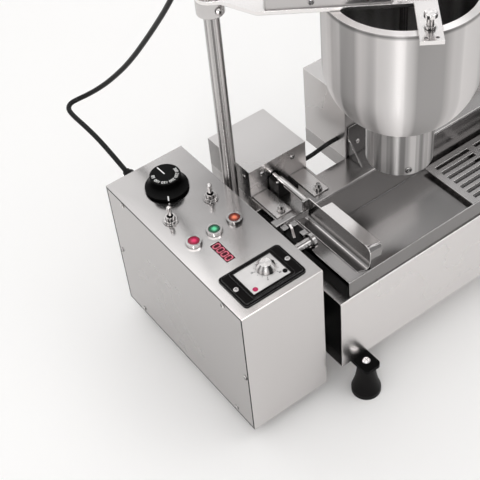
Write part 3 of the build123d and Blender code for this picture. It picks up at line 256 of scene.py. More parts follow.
def steel(name, along, side, painted_top, rough, grain=0.008, cloud=0.03, edge=0.001, painted_edge_brightness=PAINTED_EDGE_HIGHLIGHT,
          level=UP_LEVEL, left=None, painted_sheen=None):
    """Satin sheet steel: fine brush lines along one axis, cloudy marks, painted shade in seams and corners
    and a painted highlight along edges.

    Faces that look up get a painted top brightness and the others a side brightness, painted light. Faces
    that look left may get painted shade of their own. A painted sheen brightens one corner of the top, a
    painted reflection: its start and end along the way set for it."""
    material, tree, surface = shader(name, Metallic=1.0)
    stretch = [1.0, 1.0, 1.0]
    stretch["XYZ".index(along)] = BRUSH_STRETCH
    lines = tree.noise(stretch=stretch, **SHEET_LINES)
    marks = tree.noise(**SHEET_MARKS)
    soft = tree.soft_normal(edge)
    tone = tree.math("MULTIPLY_ADD", lines, grain, tree.math("MULTIPLY", marks, cloud))
    spread = grain + cloud
    high = tinted(painted_top)
    # A painted sheen: a painted reflection that brightens the top towards one corner.
    if painted_sheen:
        place = tree.add("ShaderNodeVectorMath", operation="DOT_PRODUCT")
        tree.link(tree.add("ShaderNodeTexCoord").outputs["Object"], place.inputs[0])
        place.inputs[1].default_value = PAINTED_SHEEN_WAY
        start, end = painted_sheen
        high = tree.ramp(place.outputs["Value"], (start, high), (end, tinted(1.0)))
    # Faces that look up take the painted top brightness and the others the side one: painted light.
    colour = tree.mixed("MIX", tree.looking_up(level), tinted(side), high)
    colour = tree.mixed("MULTIPLY", 1.0, colour, tree.ramp(tone, (0.0, 1 - 2 * spread), (spread, 1.0)))
    # Edges take a painted highlight, or painted shade where the edge brightness is low.
    colour = tree.mixed("MIX", tree.edges(soft), colour, tinted(painted_edge_brightness))
    # Faces that look left may take painted shade.
    if left is not None:
        colour = tree.mixed("MIX", tree.looking_left(), colour, tinted(left))
    clad(tree, surface, tree.shaded(colour, PAINTED_SHADE_REACH, PAINTED_SHADE_FLOOR),
         tree.roughness(marks, rough, *SHEET_ROUGHNESS), tree.bump(lines, soft, *SHEET_BUMP))
    return material


# Round steel: the turn of its brushing, the lines round it and their height
ROUND_TURN = 0.25
ROUND_LINES = {"scale": 1500, "detail": 3, "stretch": (BRUSH_STRETCH, BRUSH_STRETCH, 1.0), "roughness": 0.6}
ROUND_BUMP = (0.02, 0.0001)


def round_brushing(tree, surface):
    """Brush a piece round its upright axis, which draws reflections out along its height."""
    tangent = tree.add("ShaderNodeTangent", direction_type="RADIAL", axis="Z")
    tree.link(tangent.outputs[0], surface.inputs["Tangent"])
    return tree.noise(**ROUND_LINES)


# Turned steel: its marks, how lines and marks share its tone, and the spread of tone and roughness
TURNED_ANISOTROPY = 0.8
TURNED_MARKS = {"scale": 10, "detail": 4}
TURNED_LINE_SHARE, TURNED_MARK_SHARE = 0.4, 0.6
TURNED_STREAK = 0.05
TURNED_ROUGHNESS = (-0.04, 0.05)
TURNED_EDGE = 0.0006


def turned_steel(name, shade, rough):
    """Turned steel with fine lines and soft marks."""
    material, tree, surface = shader(name, Metallic=1.0, Anisotropic=TURNED_ANISOTROPY,
                                     Anisotropic_Rotation=ROUND_TURN)
    lines = round_brushing(tree, surface)
    marks = tree.math("MULTIPLY", tree.noise(**TURNED_MARKS), TURNED_MARK_SHARE)
    tone = tree.math("MULTIPLY_ADD", lines, TURNED_LINE_SHARE, marks)
    colour = tree.spread(tone, tinted(shade - TURNED_STREAK), tinted(shade + TURNED_STREAK))
    clad(tree, surface, tree.shaded(colour, PAINTED_SHADE_REACH, PAINTED_SHADE_FLOOR),
         tree.roughness(tone, rough, *TURNED_ROUGHNESS),
         tree.bump(lines, tree.soft_normal(TURNED_EDGE), *ROUND_BUMP))
    return material


def from_axis(tree, place, axis):
    """How far a place lies from an upright axis, along X and along Y."""
    return [tree.math("SUBTRACT", place[way], middle) for way, middle in zip("XY", axis)]


# Spun steel: where its painted reflection streaks are dark and light, their first angle, the half widths and
# shade of the painted shadow line under the rim, and how its inside is told from its outside and given
# painted shade
SPUN_ANISOTROPY = 0.95
PAINTED_REFLECTION_DARK, PAINTED_REFLECTION_LIGHT = 0.36, 0.6
PAINTED_REFLECTION_START = 10.0
SPUN_ROUGHNESS = (-0.04, 0.04)
SPUN_EDGE = 0.0008
RIM_SHADOW_HALF, RIM_SHADOW_FADE, RIM_SHADOW_SHADE = 0.0007, 0.0014, 0.2
INSIDE_GAIN, INSIDE_MIDDLE = 10.0, 0.5
INSIDE_STOPS = ((0.2, 1.0), (0.4, 0.0))
INSIDE_SHADE_REACH, INSIDE_SHADE_FLOOR = 0.14, 0.003


def spun_steel(name, axis, shade, rough, scale, low, detail=4.0, rim_shadow=None, level=UP_LEVEL):
    """Spun steel about an upright axis: painted reflection streaks from top to bottom, a painted highlight on
    faces that look up such as the flat rim, and painted shade inside.

    A rim shadow is a fine painted shadow line round the outside at one height."""
    material, tree, surface = shader(name, Metallic=1.0, Anisotropic=SPUN_ANISOTROPY,
                                     Anisotropic_Rotation=ROUND_TURN)
    lines = round_brushing(tree, surface)
    place, normal = tree.axes("Object"), tree.axes("Normal")
    across, along = from_axis(tree, place, axis)
    outward = tree.math("MULTIPLY_ADD", across, normal["X"], tree.math("MULTIPLY", along, normal["Y"]))
    inside = tree.ramp(tree.math("MULTIPLY_ADD", outward, INSIDE_GAIN, INSIDE_MIDDLE), *INSIDE_STOPS)
    painted_reflection_noise = tree.add("ShaderNodeTexNoise", noise_dimensions="1D")
    painted_reflection_noise.inputs["Scale"].default_value = scale
    painted_reflection_noise.inputs["Detail"].default_value = detail
    angle = tree.math("ARCTAN2", along, across)
    tree.link(tree.math("ADD", angle, PAINTED_REFLECTION_START), painted_reflection_noise.inputs["W"])
    painted_reflection = painted_reflection_noise.outputs["Fac"]
    # The streaks are a painted reflection round the axis.
    colour = tree.ramp(painted_reflection, (PAINTED_REFLECTION_DARK, tinted(shade * low)), (PAINTED_REFLECTION_LIGHT, tinted(shade)))
    # A painted shadow line under the rim.
    if rim_shadow:
        line = tree.ramp(place["Z"], (rim_shadow - RIM_SHADOW_FADE, 1.0), (rim_shadow - RIM_SHADOW_HALF, RIM_SHADOW_SHADE),
                         (rim_shadow + RIM_SHADOW_HALF, RIM_SHADOW_SHADE), (rim_shadow + RIM_SHADOW_FADE, 1.0))
        colour = tree.mixed("MULTIPLY", 1.0, colour, line)
    # Faces that look up, such as the flat rim, take a painted highlight.
    colour = tree.mixed("MIX", tree.looking_up(level), colour, tinted(1.0))
    colour = tree.shaded(colour, PAINTED_SHADE_REACH, PAINTED_SHADE_FLOOR)
    # The inside takes deep painted shade.
    clad(tree, surface, tree.shaded(colour, INSIDE_SHADE_REACH, INSIDE_SHADE_FLOOR, inside),
         tree.roughness(painted_reflection, rough, *SPUN_ROUGHNESS),
         tree.bump(lines, tree.soft_normal(SPUN_EDGE), *ROUND_BUMP))
    return material


# Plated metal: wear, upright bands of painted reflection, where the bands are dark and light, and the painted
# shade in its seams
WEAR_MARKS = {"scale": 260, "detail": 4}
WEAR_STOPS = ((0.3, 0.8), (0.65, 1.0))
PAINTED_BAND_DETAIL, PAINTED_BAND_STRETCH = 1, (1.0, 1.0, 0.06)
PAINTED_BAND_DARK, PAINTED_BAND_LIGHT = 0.44, 0.56
PLATED_EDGE = 0.0005
PLATED_SHADE_REACH, PLATED_SHADE_FLOOR = 0.0025, 0.08
PLATED_ROUGHNESS = (0.1, 0.0)
PLATED_BUMP = (0.02, 0.0002)


def bright_metal(name, dark, light, painted_top, rough=0.07, scale=330):
    """Plated metal: flanks with a painted reflection of dark and light in upright bands, a painted lighter
    top, painted shade in seams and a painted highlight along edges.
    """
    material, tree, surface = shader(name, Metallic=1.0)
    wear = tree.noise(**WEAR_MARKS)
    painted_reflection_bands = tree.noise(scale, PAINTED_BAND_DETAIL, PAINTED_BAND_STRETCH)
    soft = tree.soft_normal(PLATED_EDGE)
    # The upright bands are a painted reflection, and faces that look up take a painted top.
    painted_flanks = tree.ramp(painted_reflection_bands, (PAINTED_BAND_DARK, tinted(dark)), (PAINTED_BAND_LIGHT, tinted(light)))
    colour = tree.mixed("MIX", tree.looking_up(), painted_flanks, tinted(painted_top))
    colour = tree.mixed("MULTIPLY", 1.0, colour, tree.ramp(wear, *WEAR_STOPS))
    # Edges take a painted highlight.
    colour = tree.mixed("MIX", tree.edges(soft), colour, tinted(PAINTED_EDGE_HIGHLIGHT))
    clad(tree, surface, tree.shaded(colour, PLATED_SHADE_REACH, PLATED_SHADE_FLOOR),
         tree.roughness(wear, rough, *PLATED_ROUGHNESS), tree.bump(wear, soft, *PLATED_BUMP))
    return material


# Plastic: the detail of its noises, the broad one's scale, how far they move its colour and roughness
PLASTIC_DETAIL, BROAD_SCALE = 2, 25
PLASTIC_EDGE, PLASTIC_GRAIN_DEPTH = 0.0006, 0.0003
DARKER, LIGHTER, LEAST_LIGHT = 0.85, 1.2, 0.001
SMOOTHER, ROUGHER = 0.85, 1.15


def plastic(name, colour, rough=0.4, grain=0.08, scale=1400, shine=0.5, painted_top=1.0, rim=0.0):
    """Moulded plastic, paint or rubber: a fine grain, a painted lighter or darker top and a painted highlight
    along its rim.
    """
    material, tree, surface = shader(name, Specular_IOR_Level=shine)
    fine = tree.noise(scale, PLASTIC_DETAIL)
    broad = tree.noise(BROAD_SCALE, PLASTIC_DETAIL)
    soft = tree.soft_normal(PLASTIC_EDGE)
    low = tuple(c * DARKER for c in colour)
    high = tuple(min(1, c * LIGHTER + LEAST_LIGHT) for c in colour)
    base = tree.spread(broad, low, high)
    # A lighter or darker top is painted light.
    if painted_top != 1.0:
        base = tree.mixed("MIX", tree.looking_up(), base, tuple(c * painted_top for c in colour))
    # The rim is a painted highlight along edges.
    if rim:
        base = tree.mixed("MIX", tree.edges(soft), base, (rim, rim, rim))
    clad(tree, surface, base, tree.spread(fine, rough * SMOOTHER, rough * ROUGHER),
         tree.bump(fine, soft, grain, PLASTIC_GRAIN_DEPTH))
    return material


# Pilot lamps: their places on the panel, their lenses and the lenses' spots
LAMP_PLACES = {"red": -0.491, "green": -0.460, "amber": -0.429}
LAMP_ROW = 0.003
LENS_RADIUS, LENS_EDGE, LENS_GLOW = 0.0076, 0.0005, 0.15
LENS_CORE_END, LENS_RING_START, LENS_RIM_SHADE = 0.26, 0.6, 0.7
SPOT_MARKS = {"scale": 500, "detail": 1}
SPOT_SHARE, SPOT_MIDDLE = 0.35, 0.17
SPOT_BUMP = (0.15, 0.0004)


def lens(lamp, core, edge):
    """The lens of a pilot lamp: a pale spotted core and a dark ring round it."""
    material, tree, surface = shader(f"lens_{lamp}", Roughness=0.15, Coat_Weight=0.7, Coat_Roughness=0.06,
                                     Emission_Strength=LENS_GLOW)
    across, along = from_axis(tree, tree.axes("Object"), (LAMP_PLACES[lamp], LAMP_ROW))
    square = tree.math("MULTIPLY_ADD", across, across, tree.math("MULTIPLY", along, along))
    out = tree.math("DIVIDE", tree.math("SQRT", square), LENS_RADIUS)
    spots = tree.noise(**SPOT_MARKS)
    out = tree.math("MULTIPLY_ADD", spots, SPOT_SHARE, tree.math("SUBTRACT", out, SPOT_MIDDLE))
    rim = tuple(c * LENS_RIM_SHADE for c in edge)
    colour = tree.ramp(out, (LENS_CORE_END, core), (LENS_RING_START, edge), (1.0, rim))
    tree.link(colour, surface.inputs["Base Color"])
    tree.link(colour, surface.inputs["Emission Color"])
    tree.link(tree.bump(spots, tree.soft_normal(LENS_EDGE), *SPOT_BUMP), surface.inputs["Normal"])
    return material


# The upright axes of the round pieces, and the height of the painted shadow line under the hopper's rim
HOPPER_AXIS = (-0.212, -0.060)
POST_AXIS = (-0.3855, 0.073)
TIMER_KNOB = (-0.451, -0.0908)
RIM_SHADOW_HEIGHT = 0.5148

BLACK = (0.004, 0.0035, 0.0035)

# The side and painted top brightness of each steel look is painted light, set per piece for what it mirrors.
MATERIALS = {
    "casing": steel("casing_steel", "X", side=0.75, painted_top=0.82, rough=0.26),
    "deck": steel("deck_steel", "X", side=0.37, painted_top=0.56, rough=0.2),
    # The box top has a painted sheen towards its front left, a painted reflection; its left-facing faces take
    # painted shade.
    "box": steel("box_steel", "Y", side=0.68, painted_top=0.71, rough=0.17, left=0.03, painted_sheen=(0.46, 0.53)),
    # The side panel's top and edges are painted dark: a painted shade line along its seam.
    "panel": steel("panel_steel", "Y", side=0.5, painted_top=0.03, rough=0.25, edge=0.0014, painted_edge_brightness=0.02),
    # The drive covers' left faces take painted shade.
    "cover": steel("cover_steel", "Y", side=0.9, painted_top=0.74, rough=0.28, left=0.27),
    "terminal": steel("terminal_steel", "Y", side=0.54, painted_top=0.77, rough=0.28),
    # The bracket steel is painted dark: painted shade for the shadow the bracket stands in.
    "bracket": steel("bracket_steel", "X", side=0.13, painted_top=0.43, rough=0.2),
    "arm": steel("arm_steel", "Y", side=0.88, painted_top=0.98, rough=0.22),
    # The blade's crease and flange take the painted top: a painted highlight.
    "blade": steel("blade_steel", "Y", side=0.28, painted_top=0.95, rough=0.16, level=(0.95, 0.985)),
    "grid": steel("grid_steel", "X", side=0.32, painted_top=0.7, rough=0.22),
    "pan": steel("pan_steel", "X", side=0.25, painted_top=0.46, rough=0.18, grain=0.012, cloud=0.05),
    "round": turned_steel("turned_steel", shade=0.59, rough=0.17),
    # The post, bowl, neck and dial carry painted reflection streaks and a painted highlight on faces that
    # look up.
    "post": spun_steel("post_steel", POST_AXIS, shade=0.72, rough=0.26, scale=1.6, low=0.3),
    "bowl": spun_steel("bowl_steel", HOPPER_AXIS, shade=0.76, rough=0.4, scale=1.8, low=0.5, detail=2.5,
                       rim_shadow=RIM_SHADOW_HEIGHT),
    "neck": spun_steel("neck_steel", HOPPER_AXIS, shade=0.6, rough=0.34, scale=3.4, low=0.35),
    "dial": spun_steel("dial_steel", TIMER_KNOB, shade=0.95, rough=0.2, scale=1.5, low=0.04, detail=0.5,
                       level=(0.7, 0.95)),
    # Bright, bezel and pipe metal carry painted reflection bands and painted highlights.
    "bright": bright_metal("bright_metal", dark=0.04, light=0.9, painted_top=0.92),
    "bezel": bright_metal("bezel_metal", dark=0.05, light=0.95, painted_top=0.95, scale=90),
    "pipe": bright_metal("pipe_metal", dark=0.1, light=0.8, painted_top=0.5, rough=0.12),
    "motor": plastic("motor_paint", (0.2, 0.2, 0.21), rough=0.45),
    "black_paint": plastic("black_paint", (0.002, 0.002, 0.002), rough=0.45, grain=0.1, scale=900,
                           shine=0.04),
    "rubber": plastic("black_rubber", BLACK, rough=0.42, grain=0.15, scale=700, shine=0.1),
    "black": plastic("black_plastic", BLACK, rough=0.3, grain=0.05, shine=0.12),
    # The timer frame's and thermostat knob's lighter tops and pale rims are painted light.
    "frame": plastic("frame_plastic", BLACK, rough=0.3, grain=0.05, shine=0.05, painted_top=1.6, rim=0.22),
    "gloss": plastic("black_gloss", (0.0012, 0.0012, 0.0012), rough=0.25, grain=0.01, shine=0.004, painted_top=11.0,
                     rim=0.02),
    "cable": plastic("cable_sheath", (0.004, 0.004, 0.004), rough=0.3, grain=0.1, scale=500, shine=0.25),
    "red": lens("red", core=(0.78, 0.035, 0.14), edge=(0.3, 0.0, 0.035)),
    "green": lens("green", core=(0.12, 0.7, 0.36), edge=(0.0, 0.08, 0.035)),
    "amber": lens("amber", core=(0.9, 0.23, 0.12), edge=(0.15, 0.01, 0.0)),
    "counter": plastic("counter_window", (0.055, 0.001, 0.006), rough=0.12, grain=0.01),
    "digit": plastic("digit_red", (0.85, 0.16, 0.24), rough=0.3, grain=0.02),
    "white_print": plastic("white_print", (0.9, 0.9, 0.88), rough=0.5, grain=0.05),
    "dark_print": plastic("dark_print", (0.05, 0.05, 0.055), rough=0.5, grain=0.05),
    "red_print": plastic("red_print", (0.5, 0.02, 0.1), rough=0.25, grain=0.02),
    "face": plastic("timer_face_paint", (0.72, 0.7, 0.69), rough=0.35, grain=0.03),
}

# The material of every CAD node. The head cable's node is replaced by a smooth cable further down.
NODE_LOOKS = {
    "casing": ("tank_casing", "pan_supports", "post_base"),
    "deck": ("deck", "grid_bearings", "exit_chute"),
    "box": ("control_box", "box_chassis"),
    "panel": ("side_panel",),
    "bracket": ("terminal_bracket",),
    "cover": ("drive_covers",),
    "terminal": ("terminal_box", "head_cover"),
    "arm": ("crossbar", "arm_plate", "head_bracket", "rocker_lever"),
    "blade": ("pusher_blade",),
    "grid": ("turning_grid", "lifting_grid"),
    "pan": ("oil_pan",),
    "round": ("clamp_collar", "box_spacers", "pusher_shaft", "plunger"),
    "post": ("post",),
    "bowl": ("hopper_bowl",),
    "neck": ("hopper_neck",),
    "bright": ("base_bolts", "cover_screws", "set_screws", "drive_studs", "toggle_bodies", "toggle_nuts",
               "toggle_lever_left", "toggle_lever_right", "thumb_screw_front", "thumb_screw_back"),
    "bezel": ("lamp_bezels",),
    "dial": ("timer_knob",),
    "pipe": ("sensor_conduit",),
    "face": ("timer_face",),
    "motor": ("drive_motors", "head_motor"),
    # The casing end panel is painted black: painted shade for the dark inside of the casing's open end.
    "black_paint": ("casing_end_panel", "foot_brackets"),
    "rubber": ("rubber_feet", "box_feet"),
    "black": ("cable_glands", "thermostat_body", "pusher_bearing", "sensor_clip"),
    "frame": ("timer_frame",),
    "gloss": ("thermostat_knob",),
    "cable": ("link_cable", "head_cable"),
    "red": ("lamp_red",),
    "green": ("lamp_green",),
    "amber": ("lamp_amber",),
    "counter": ("counter",),
}


def dress(look, names):
    """Give these CAD nodes one of the materials."""
    for name in names:
        data = nodes[name].data
        data.materials.clear()
        data.materials.append(MATERIALS[look])


def piece(name, grid, look, body):
    """A new mesh object from a bmesh, dressed and riding on a body."""
    bmesh.ops.recalc_face_normals(grid, faces=grid.faces)
    data = bpy.data.meshes.new(name)
    grid.to_mesh(data)
    grid.free()
    data.materials.append(MATERIALS[look])
    made = placed(name, data)
    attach(made, body)


def joined(grid, rings):
    """Join rings of corners, each to the next, with four-sided faces."""
    for first, second in zip(rings, rings[1:]):
        for i in range(len(first)):
            j = (i + 1) % len(first)
            grid.faces.new((first[i], first[j], second[j], second[i]))


def slab(grid, outline, low, high, bevel=0.0):
    """A flat plate from a list of corner points, its upper edge drawn in by the bevel."""
    middle = sum((Vector(p) for p in outline), Vector((0, 0))) / len(outline)
    rings = []
    for height, inset in ((low, 0.0), (high - bevel, 0.0), (high, bevel)):
        ring = []
        for point in outline:
            inward = (middle - Vector(point)).normalized() * inset
            ring.append(grid.verts.new((point[0] + inward.x, point[1] + inward.y, height)))
        rings.append(ring)
    joined(grid, rings)
    grid.faces.new(rings[-1])
    grid.faces.new(reversed(rings[0]))


def ribbon(grid, points, across, thick):
    """A thin strip along a line of points, its width given by one vector."""
    rings = []
    for i, point in enumerate(points):
        way = points[min(i + 1, len(points) - 1)] - points[max(i - 1, 0)]
        out = way.cross(across).normalized() * thick
        corners = (point - across / 2, point + across / 2, point + across / 2 + out, point - across / 2 + out)
        rings.append([grid.verts.new(corner) for corner in corners])
    joined(grid, rings)
    grid.faces.new(rings[0])
    grid.faces.new(reversed(rings[-1]))


def bar(centre, angle, inner, outer, width):
    """The corners of a bar that lies along a ray from a centre."""
    way = Vector((math.cos(angle), math.sin(angle)))
    side = Vector((-way.y, way.x)) * width / 2
    start, end = Vector(centre) + way * inner, Vector(centre) + way * outer
    return [start - side, end - side, end + side, start + side]


def around(centre, radius, angle):
    """A point on a circle."""
    return (centre[0] + radius * math.cos(angle), centre[1] + radius * math.sin(angle))


def disc(centre, radius, count=24):
    """The corners of a round outline."""
    return [around(centre, radius, 2 * math.pi * i / count) for i in range(count)]


# Figures: their height as a share of the font's size, and how far their strokes are thickened
FIGURE_SHARE, FIGURE_WEIGHT = 0.7, 0.02
PRINT_RISE = 0.00015


def numeral(grid, words, centre, angle, height, level):
    """Digits laid flat, their tops turned to a direction, added to a bmesh."""
    data = bpy.data.curves.new("numeral", "FONT")
    data.body = words
    data.size = height / FIGURE_SHARE
    data.align_x = "CENTER"
    data.align_y = "CENTER"
    data.extrude = PRINT_RISE / 2
    data.offset = height * FIGURE_WEIGHT
    words_object = bpy.data.objects.new("numeral", data)
    flat = bpy.data.meshes.new_from_object(words_object)
    lift = Matrix.Translation((*centre, level + PRINT_RISE / 2))
    flat.transform(lift @ Matrix.Rotation(angle - math.pi / 2, 4, "Z"))
    grid.from_mesh(flat)
    bpy.data.objects.remove(words_object)
    bpy.data.curves.remove(data)
    bpy.data.meshes.remove(flat)


# Thermostat knob: a pointer line (inner end, outer end, width) and six temperatures round its top, and
# a short mark on its skirt that follows the radius and height of the flank, with turns in degrees
KNOB_PLACE = (-0.460, 0.1095)
KNOB_BOTTOM, KNOB_TOP = 0.2465, 0.2675
POINTER_TURN, POINTER = 92, (0.001, 0.0175, 0.0016)
HEAT_COUNT, HEAT_STEP = 6, 50
HEAT_START, HEAT_PITCH = 158, 38.4
HEAT_RING, HEAT_HEIGHT = 0.0152, 0.0042
KNOB_MARK = ((0.0288, 0.0006), (0.0288, 0.003), (0.0271, 0.0045), (0.0257, 0.006))
KNOB_MARK_TURN, KNOB_MARK_WIDTH = 241, 0.0018


def knob_print():
    """The white print on the thermostat knob."""
    grid = bmesh.new()
    slab(grid, bar(KNOB_PLACE, math.radians(POINTER_TURN), *POINTER), KNOB_TOP, KNOB_TOP + PRINT_RISE)
    for i in range(HEAT_COUNT):
        angle = math.radians(HEAT_START + HEAT_PITCH * i)
        spot = around(KNOB_PLACE, HEAT_RING, angle)
        numeral(grid, str(HEAT_STEP * (i + 1)), spot, angle, HEAT_HEIGHT, KNOB_TOP)
    turn = math.radians(KNOB_MARK_TURN)
    way = Vector((math.cos(turn), math.sin(turn), 0))
    foot = Vector((*KNOB_PLACE, KNOB_BOTTOM))
    mark = [foot + way * radius + Vector((0, 0, height)) for radius, height in KNOB_MARK]
    ribbon(grid, mark, Vector((-way.y, way.x, 0)) * KNOB_MARK_WIDTH, PRINT_RISE)
    piece("knob_print", grid, "white_print", "thermostat")


# Timer face: a scale of marks (outer end and width) and three minutes round the knob, in degrees of
# turn, a dark round button, and a lamp with a flat ring and a dome (radius, rise and bevel each)
TIMER_TOP = 0.2488
SCALE_COUNT, SCALE_START, SCALE_PITCH = 13, -60, 25
SCALE_INNER, LONG_EVERY = 0.0138, 3
LONG_MARK, SHORT_MARK = (0.0160, 0.0006), (0.0150, 0.0004)
MINUTES, MINUTE_START, MINUTE_PITCH = (0, 15, 60), 240, 5
MINUTE_RING, MINUTE_HEIGHT = 0.0182, 0.0024
BUTTON_PLACE = (-0.4362, -0.1089)
BUTTON_RADIUS, BUTTON_RISE, BUTTON_BEVEL = 0.0030, 0.0016, 0.0006
TIMER_LAMP_PLACE = (-0.4809, -0.1095)
RING_RADIUS, RING_RISE, RING_BEVEL = 0.0034, 0.0005, 0.0002
DOME_RADIUS, DOME_RISE, DOME_BEVEL = 0.0018, 0.0018, 0.0009


def timer_print():
    """The scale, button and lamp on the timer's face."""
    grid = bmesh.new()
    for i in range(SCALE_COUNT):
        angle = math.radians(SCALE_START + SCALE_PITCH * i)
        outer, width = SHORT_MARK if i % LONG_EVERY else LONG_MARK
        slab(grid, bar(TIMER_KNOB, angle, SCALE_INNER, outer, width), TIMER_TOP, TIMER_TOP + PRINT_RISE)
    for minutes in MINUTES:
        spot = around(TIMER_KNOB, MINUTE_RING, math.radians(MINUTE_START - MINUTE_PITCH * minutes))
        numeral(grid, str(minutes), spot, math.pi / 2, MINUTE_HEIGHT, TIMER_TOP)
    piece("timer_scale", grid, "dark_print", "machine")
    button = bmesh.new()
    slab(button, disc(BUTTON_PLACE, BUTTON_RADIUS), TIMER_TOP, TIMER_TOP + BUTTON_RISE, BUTTON_BEVEL)
    piece("timer_button", button, "black", "machine")
    lamp = bmesh.new()
    slab(lamp, disc(TIMER_LAMP_PLACE, RING_RADIUS), TIMER_TOP, TIMER_TOP + RING_RISE, RING_BEVEL)
    slab(lamp, disc(TIMER_LAMP_PLACE, DOME_RADIUS), TIMER_TOP + RING_RISE, TIMER_TOP + DOME_RISE, DOME_BEVEL)
    piece("timer_lamp", lamp, "red_print", "machine")


# Counter: a row of seven-segment figures along the window
COUNTER_FIGURES = "0000"
COUNTER_PLACE = (-0.4728, -0.032)
COUNTER_TOP = 0.2447
DIGIT_PITCH = 0.0086
DIGIT_SIZE = (0.0056, 0.0092)
SEGMENT_WIDTH, SEGMENT_GAP = 0.0016, 0.05
SEGMENTS = {"0": "abcdef", "1": "bc", "2": "abged", "3": "abgcd", "4": "fgbc", "5": "afgcd", "6": "afgedc",
            "7": "abc", "8": "abcdefg", "9": "abcdfg"}


def counter_digits():
    """The lit segments of the counter's figures, each a flat bar with pointed ends."""
    grid = bmesh.new()
    wide, tall = DIGIT_SIZE[0] / 2, DIGIT_SIZE[1] / 2
    places = {"a": (0, tall, 1), "g": (0, 0, 1), "d": (0, -tall, 1), "f": (-wide, tall / 2, 0),
              "b": (wide, tall / 2, 0), "e": (-wide, -tall / 2, 0), "c": (wide, -tall / 2, 0)}
    for i, figure in enumerate(COUNTER_FIGURES):
        shift = (i - (len(COUNTER_FIGURES) - 1) / 2) * DIGIT_PITCH
        for letter in SEGMENTS[figure]:
            x, y, level = places[letter]
            half = (wide if level else tall / 2) - SEGMENT_WIDTH * SEGMENT_GAP
            across = SEGMENT_WIDTH / 2
            tip = half - across
            if level:
                shape = ((-half, 0), (-tip, -across), (tip, -across),
                         (half, 0), (tip, across), (-tip, across))
            else:
                shape = ((0, -half), (across, -tip), (across, tip),
                         (0, half), (-across, tip), (-across, -tip))
            outline = [(COUNTER_PLACE[0] - (y + v), COUNTER_PLACE[1] + (shift + x + u)) for u, v in shape]
            slab(grid, outline, COUNTER_TOP, COUNTER_TOP + PRINT_RISE)
    piece("counter_digits", grid, "digit", "machine")


# A thin sprung strip that arches over the sensor clip between its nuts
STRIP_LINE = ((-0.3665, -0.0245, 0.2152), (-0.3675, -0.0285, 0.2195), (-0.3695, -0.0355, 0.2192),
              (-0.3730, -0.0425, 0.2170), (-0.3752, -0.0475, 0.2152))
STRIP_WIDTH, STRIP_THICK = 0.0034, 0.0006


def clip_strip():
    """The sprung strip over the sensor clip."""
    grid = bmesh.new()
    points = [Vector(point) for point in STRIP_LINE]
    along = points[-1] - points[0]
    across = Vector((-along.y, along.x, 0)).normalized() * STRIP_WIDTH
    ribbon(grid, points, across, STRIP_THICK)
    piece("clip_strip", grid, "bright", "machine")


# Head cable: the corner points of its line from the gland on the control box to the head cover
CABLE_ROUTE = (
    (-0.4792, 0.1815, 0.234), (-0.4805, 0.208, 0.243), (-0.4826, 0.240, 0.254),
    (-0.4853, 0.270, 0.2605), (-0.488, 0.296, 0.264), (-0.4875, 0.312, 0.2665),
    (-0.479, 0.319, 0.2685), (-0.467, 0.3155, 0.2715), (-0.455, 0.304, 0.2805),
    (-0.444, 0.288, 0.295), (-0.432, 0.269, 0.315), (-0.417, 0.238, 0.352),
    (-0.401, 0.195, 0.414), (-0.394, 0.150, 0.476), (-0.390, 0.118, 0.528),
    (-0.376, 0.082, 0.563), (-0.3486, 0.0447, 0.575),
)
CABLE_DIAMETER = 0.007
CABLE_ORDER, CABLE_STEPS, CABLE_ROUND_STEPS = 3, 10, 6


def head_cable():
    """The free cable from the control box to the head, on one smooth line."""
    data = bpy.data.curves.new("head_cable_flex", "CURVE")
    data.dimensions = "3D"
    data.bevel_depth = CABLE_DIAMETER / 2
    data.bevel_resolution = CABLE_ROUND_STEPS
    data.resolution_u = CABLE_STEPS
    data.use_fill_caps = True
    line = data.splines.new("NURBS")
    line.points.add(len(CABLE_ROUTE) - 1)
    for point, place in zip(line.points, CABLE_ROUTE):
        point.co = (*place, 1)
    line.order_u = CABLE_ORDER
    line.use_endpoint_u = True
    data.materials.append(MATERIALS["cable"])
    made = placed("head_cable_flex", data)
    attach(made, "machine")
    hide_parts("head_cable")


# Floor: its half width, and the two near whites that its clouds run between
FLOOR_REACH = 60
FLOOR_LOW, FLOOR_HIGH = (0.96, 0.95, 0.94), (0.97, 0.96, 0.95)
FLOOR_CLOUDS = {"scale": 1.5, "detail": 2}


def floor():
    """A wide pale floor."""
    sheet = bpy.data.meshes.new("floor")
    signs = ((-1, -1), (1, -1), (1, 1), (-1, 1))
    sheet.from_pydata([(x * FLOOR_REACH, y * FLOOR_REACH, 0) for x, y in signs], [], [(0, 1, 2, 3)])
    material, tree, surface = shader("floor", Roughness=0.9, Specular_IOR_Level=0.1)
    tree.link(tree.spread(tree.noise(**FLOOR_CLOUDS), FLOOR_LOW, FLOOR_HIGH), surface.inputs["Base Color"])
    sheet.materials.append(material)
    ground = placed("floor", sheet)


# Studio: brightness by turns from the left (-X) against the clock, near the horizon and overhead. The
# walls have one narrow bright strip at the front left.
WALLS = ((0.0, 1.1), (0.1, 1.05), (0.113, 1.05), (0.117, 16.0), (0.125, 16.0), (0.129, 1.05), (0.25, 1.1),
         (0.4, 0.8), (0.55, 0.9), (0.6, 1.65), (0.7, 1.65), (0.8, 1.1), (0.9, 1.0), (1.0, 1.1))
CEILING = ((0.0, 1.1), (0.25, 0.9), (0.45, 0.5), (0.56, 0.12), (0.66, 0.2), (0.68, 1.3), (0.8, 1.3),
           (1.0, 1.1))

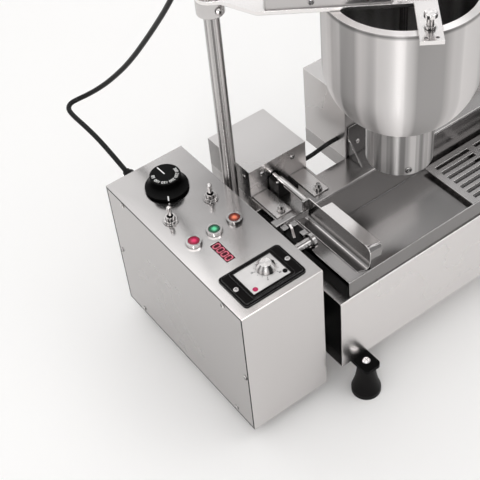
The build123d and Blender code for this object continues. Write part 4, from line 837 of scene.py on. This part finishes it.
# By height, as the upward part of the direction: where walls turn into ceiling, and how much of the
# bright ring overhead shows
CEILING_START, CEILING_FULL = 0.58, 0.66
ZENITH_RING = ((0.71, 0.0), (0.77, 1.0), (0.9, 1.0), (0.96, 0.2))
ZENITH = 2.15
STUDIO_LEVEL = 0.67


def studio():
    """A world painted as pale walls, a ceiling and a bright ring overhead."""
    world = bpy.data.worlds.new("studio")
    bpy.context.scene.world = world
    world.use_nodes = True
    tree = Nodes(world.node_tree)
    way = tree.axes("Generated")
    turn = tree.math("ARCTAN2", way["Y"], way["X"])
    turns = tree.math("MULTIPLY_ADD", turn, 0.5 / math.pi, 0.5)
    height = tree.ramp(way["Z"], (CEILING_START, 0.0), (CEILING_FULL, 1.0))
    room = tree.mixed("MIX", height, tree.ramp(turns, *WALLS), tree.ramp(turns, *CEILING))
    whole = tree.mixed("MIX", tree.ramp(way["Z"], *ZENITH_RING), room, (ZENITH, ZENITH, ZENITH))
    light = tree.add("ShaderNodeBackground")
    tree.link(whole, light.inputs["Color"])
    light.inputs["Strength"].default_value = STUDIO_LEVEL
    out = tree.add("ShaderNodeOutputWorld")
    tree.link(light.outputs[0], out.inputs["Surface"])


# Key lamp: a square soft lamp above the front right, its side and its power in watts
KEY_PLACE, KEY_AIM = (0.9, -1.2, 2.8), (0, 0, 0.2)
KEY_SIDE, KEY_POWER = 1.6, 8


def key_lamp():
    """The one lamp beside the studio's own light."""
    lamp = bpy.data.lights.new("key", "AREA")
    lamp.shape = "RECTANGLE"
    lamp.size = KEY_SIDE
    lamp.size_y = KEY_SIDE
    lamp.energy = KEY_POWER
    made = placed("key", lamp)
    made.location = KEY_PLACE
    aim = Vector(KEY_AIM) - Vector(KEY_PLACE)
    made.rotation_mode = "QUATERNION"
    made.rotation_quaternion = aim.to_track_quat("-Z", "Y")


camera()
head_cable()
knob_print()
timer_print()
counter_digits()
clip_strip()
for look, names in NODE_LOOKS.items():
    dress(look, names)
floor()
studio()
key_lamp()

bpy.context.scene.view_settings.view_transform = "Standard"
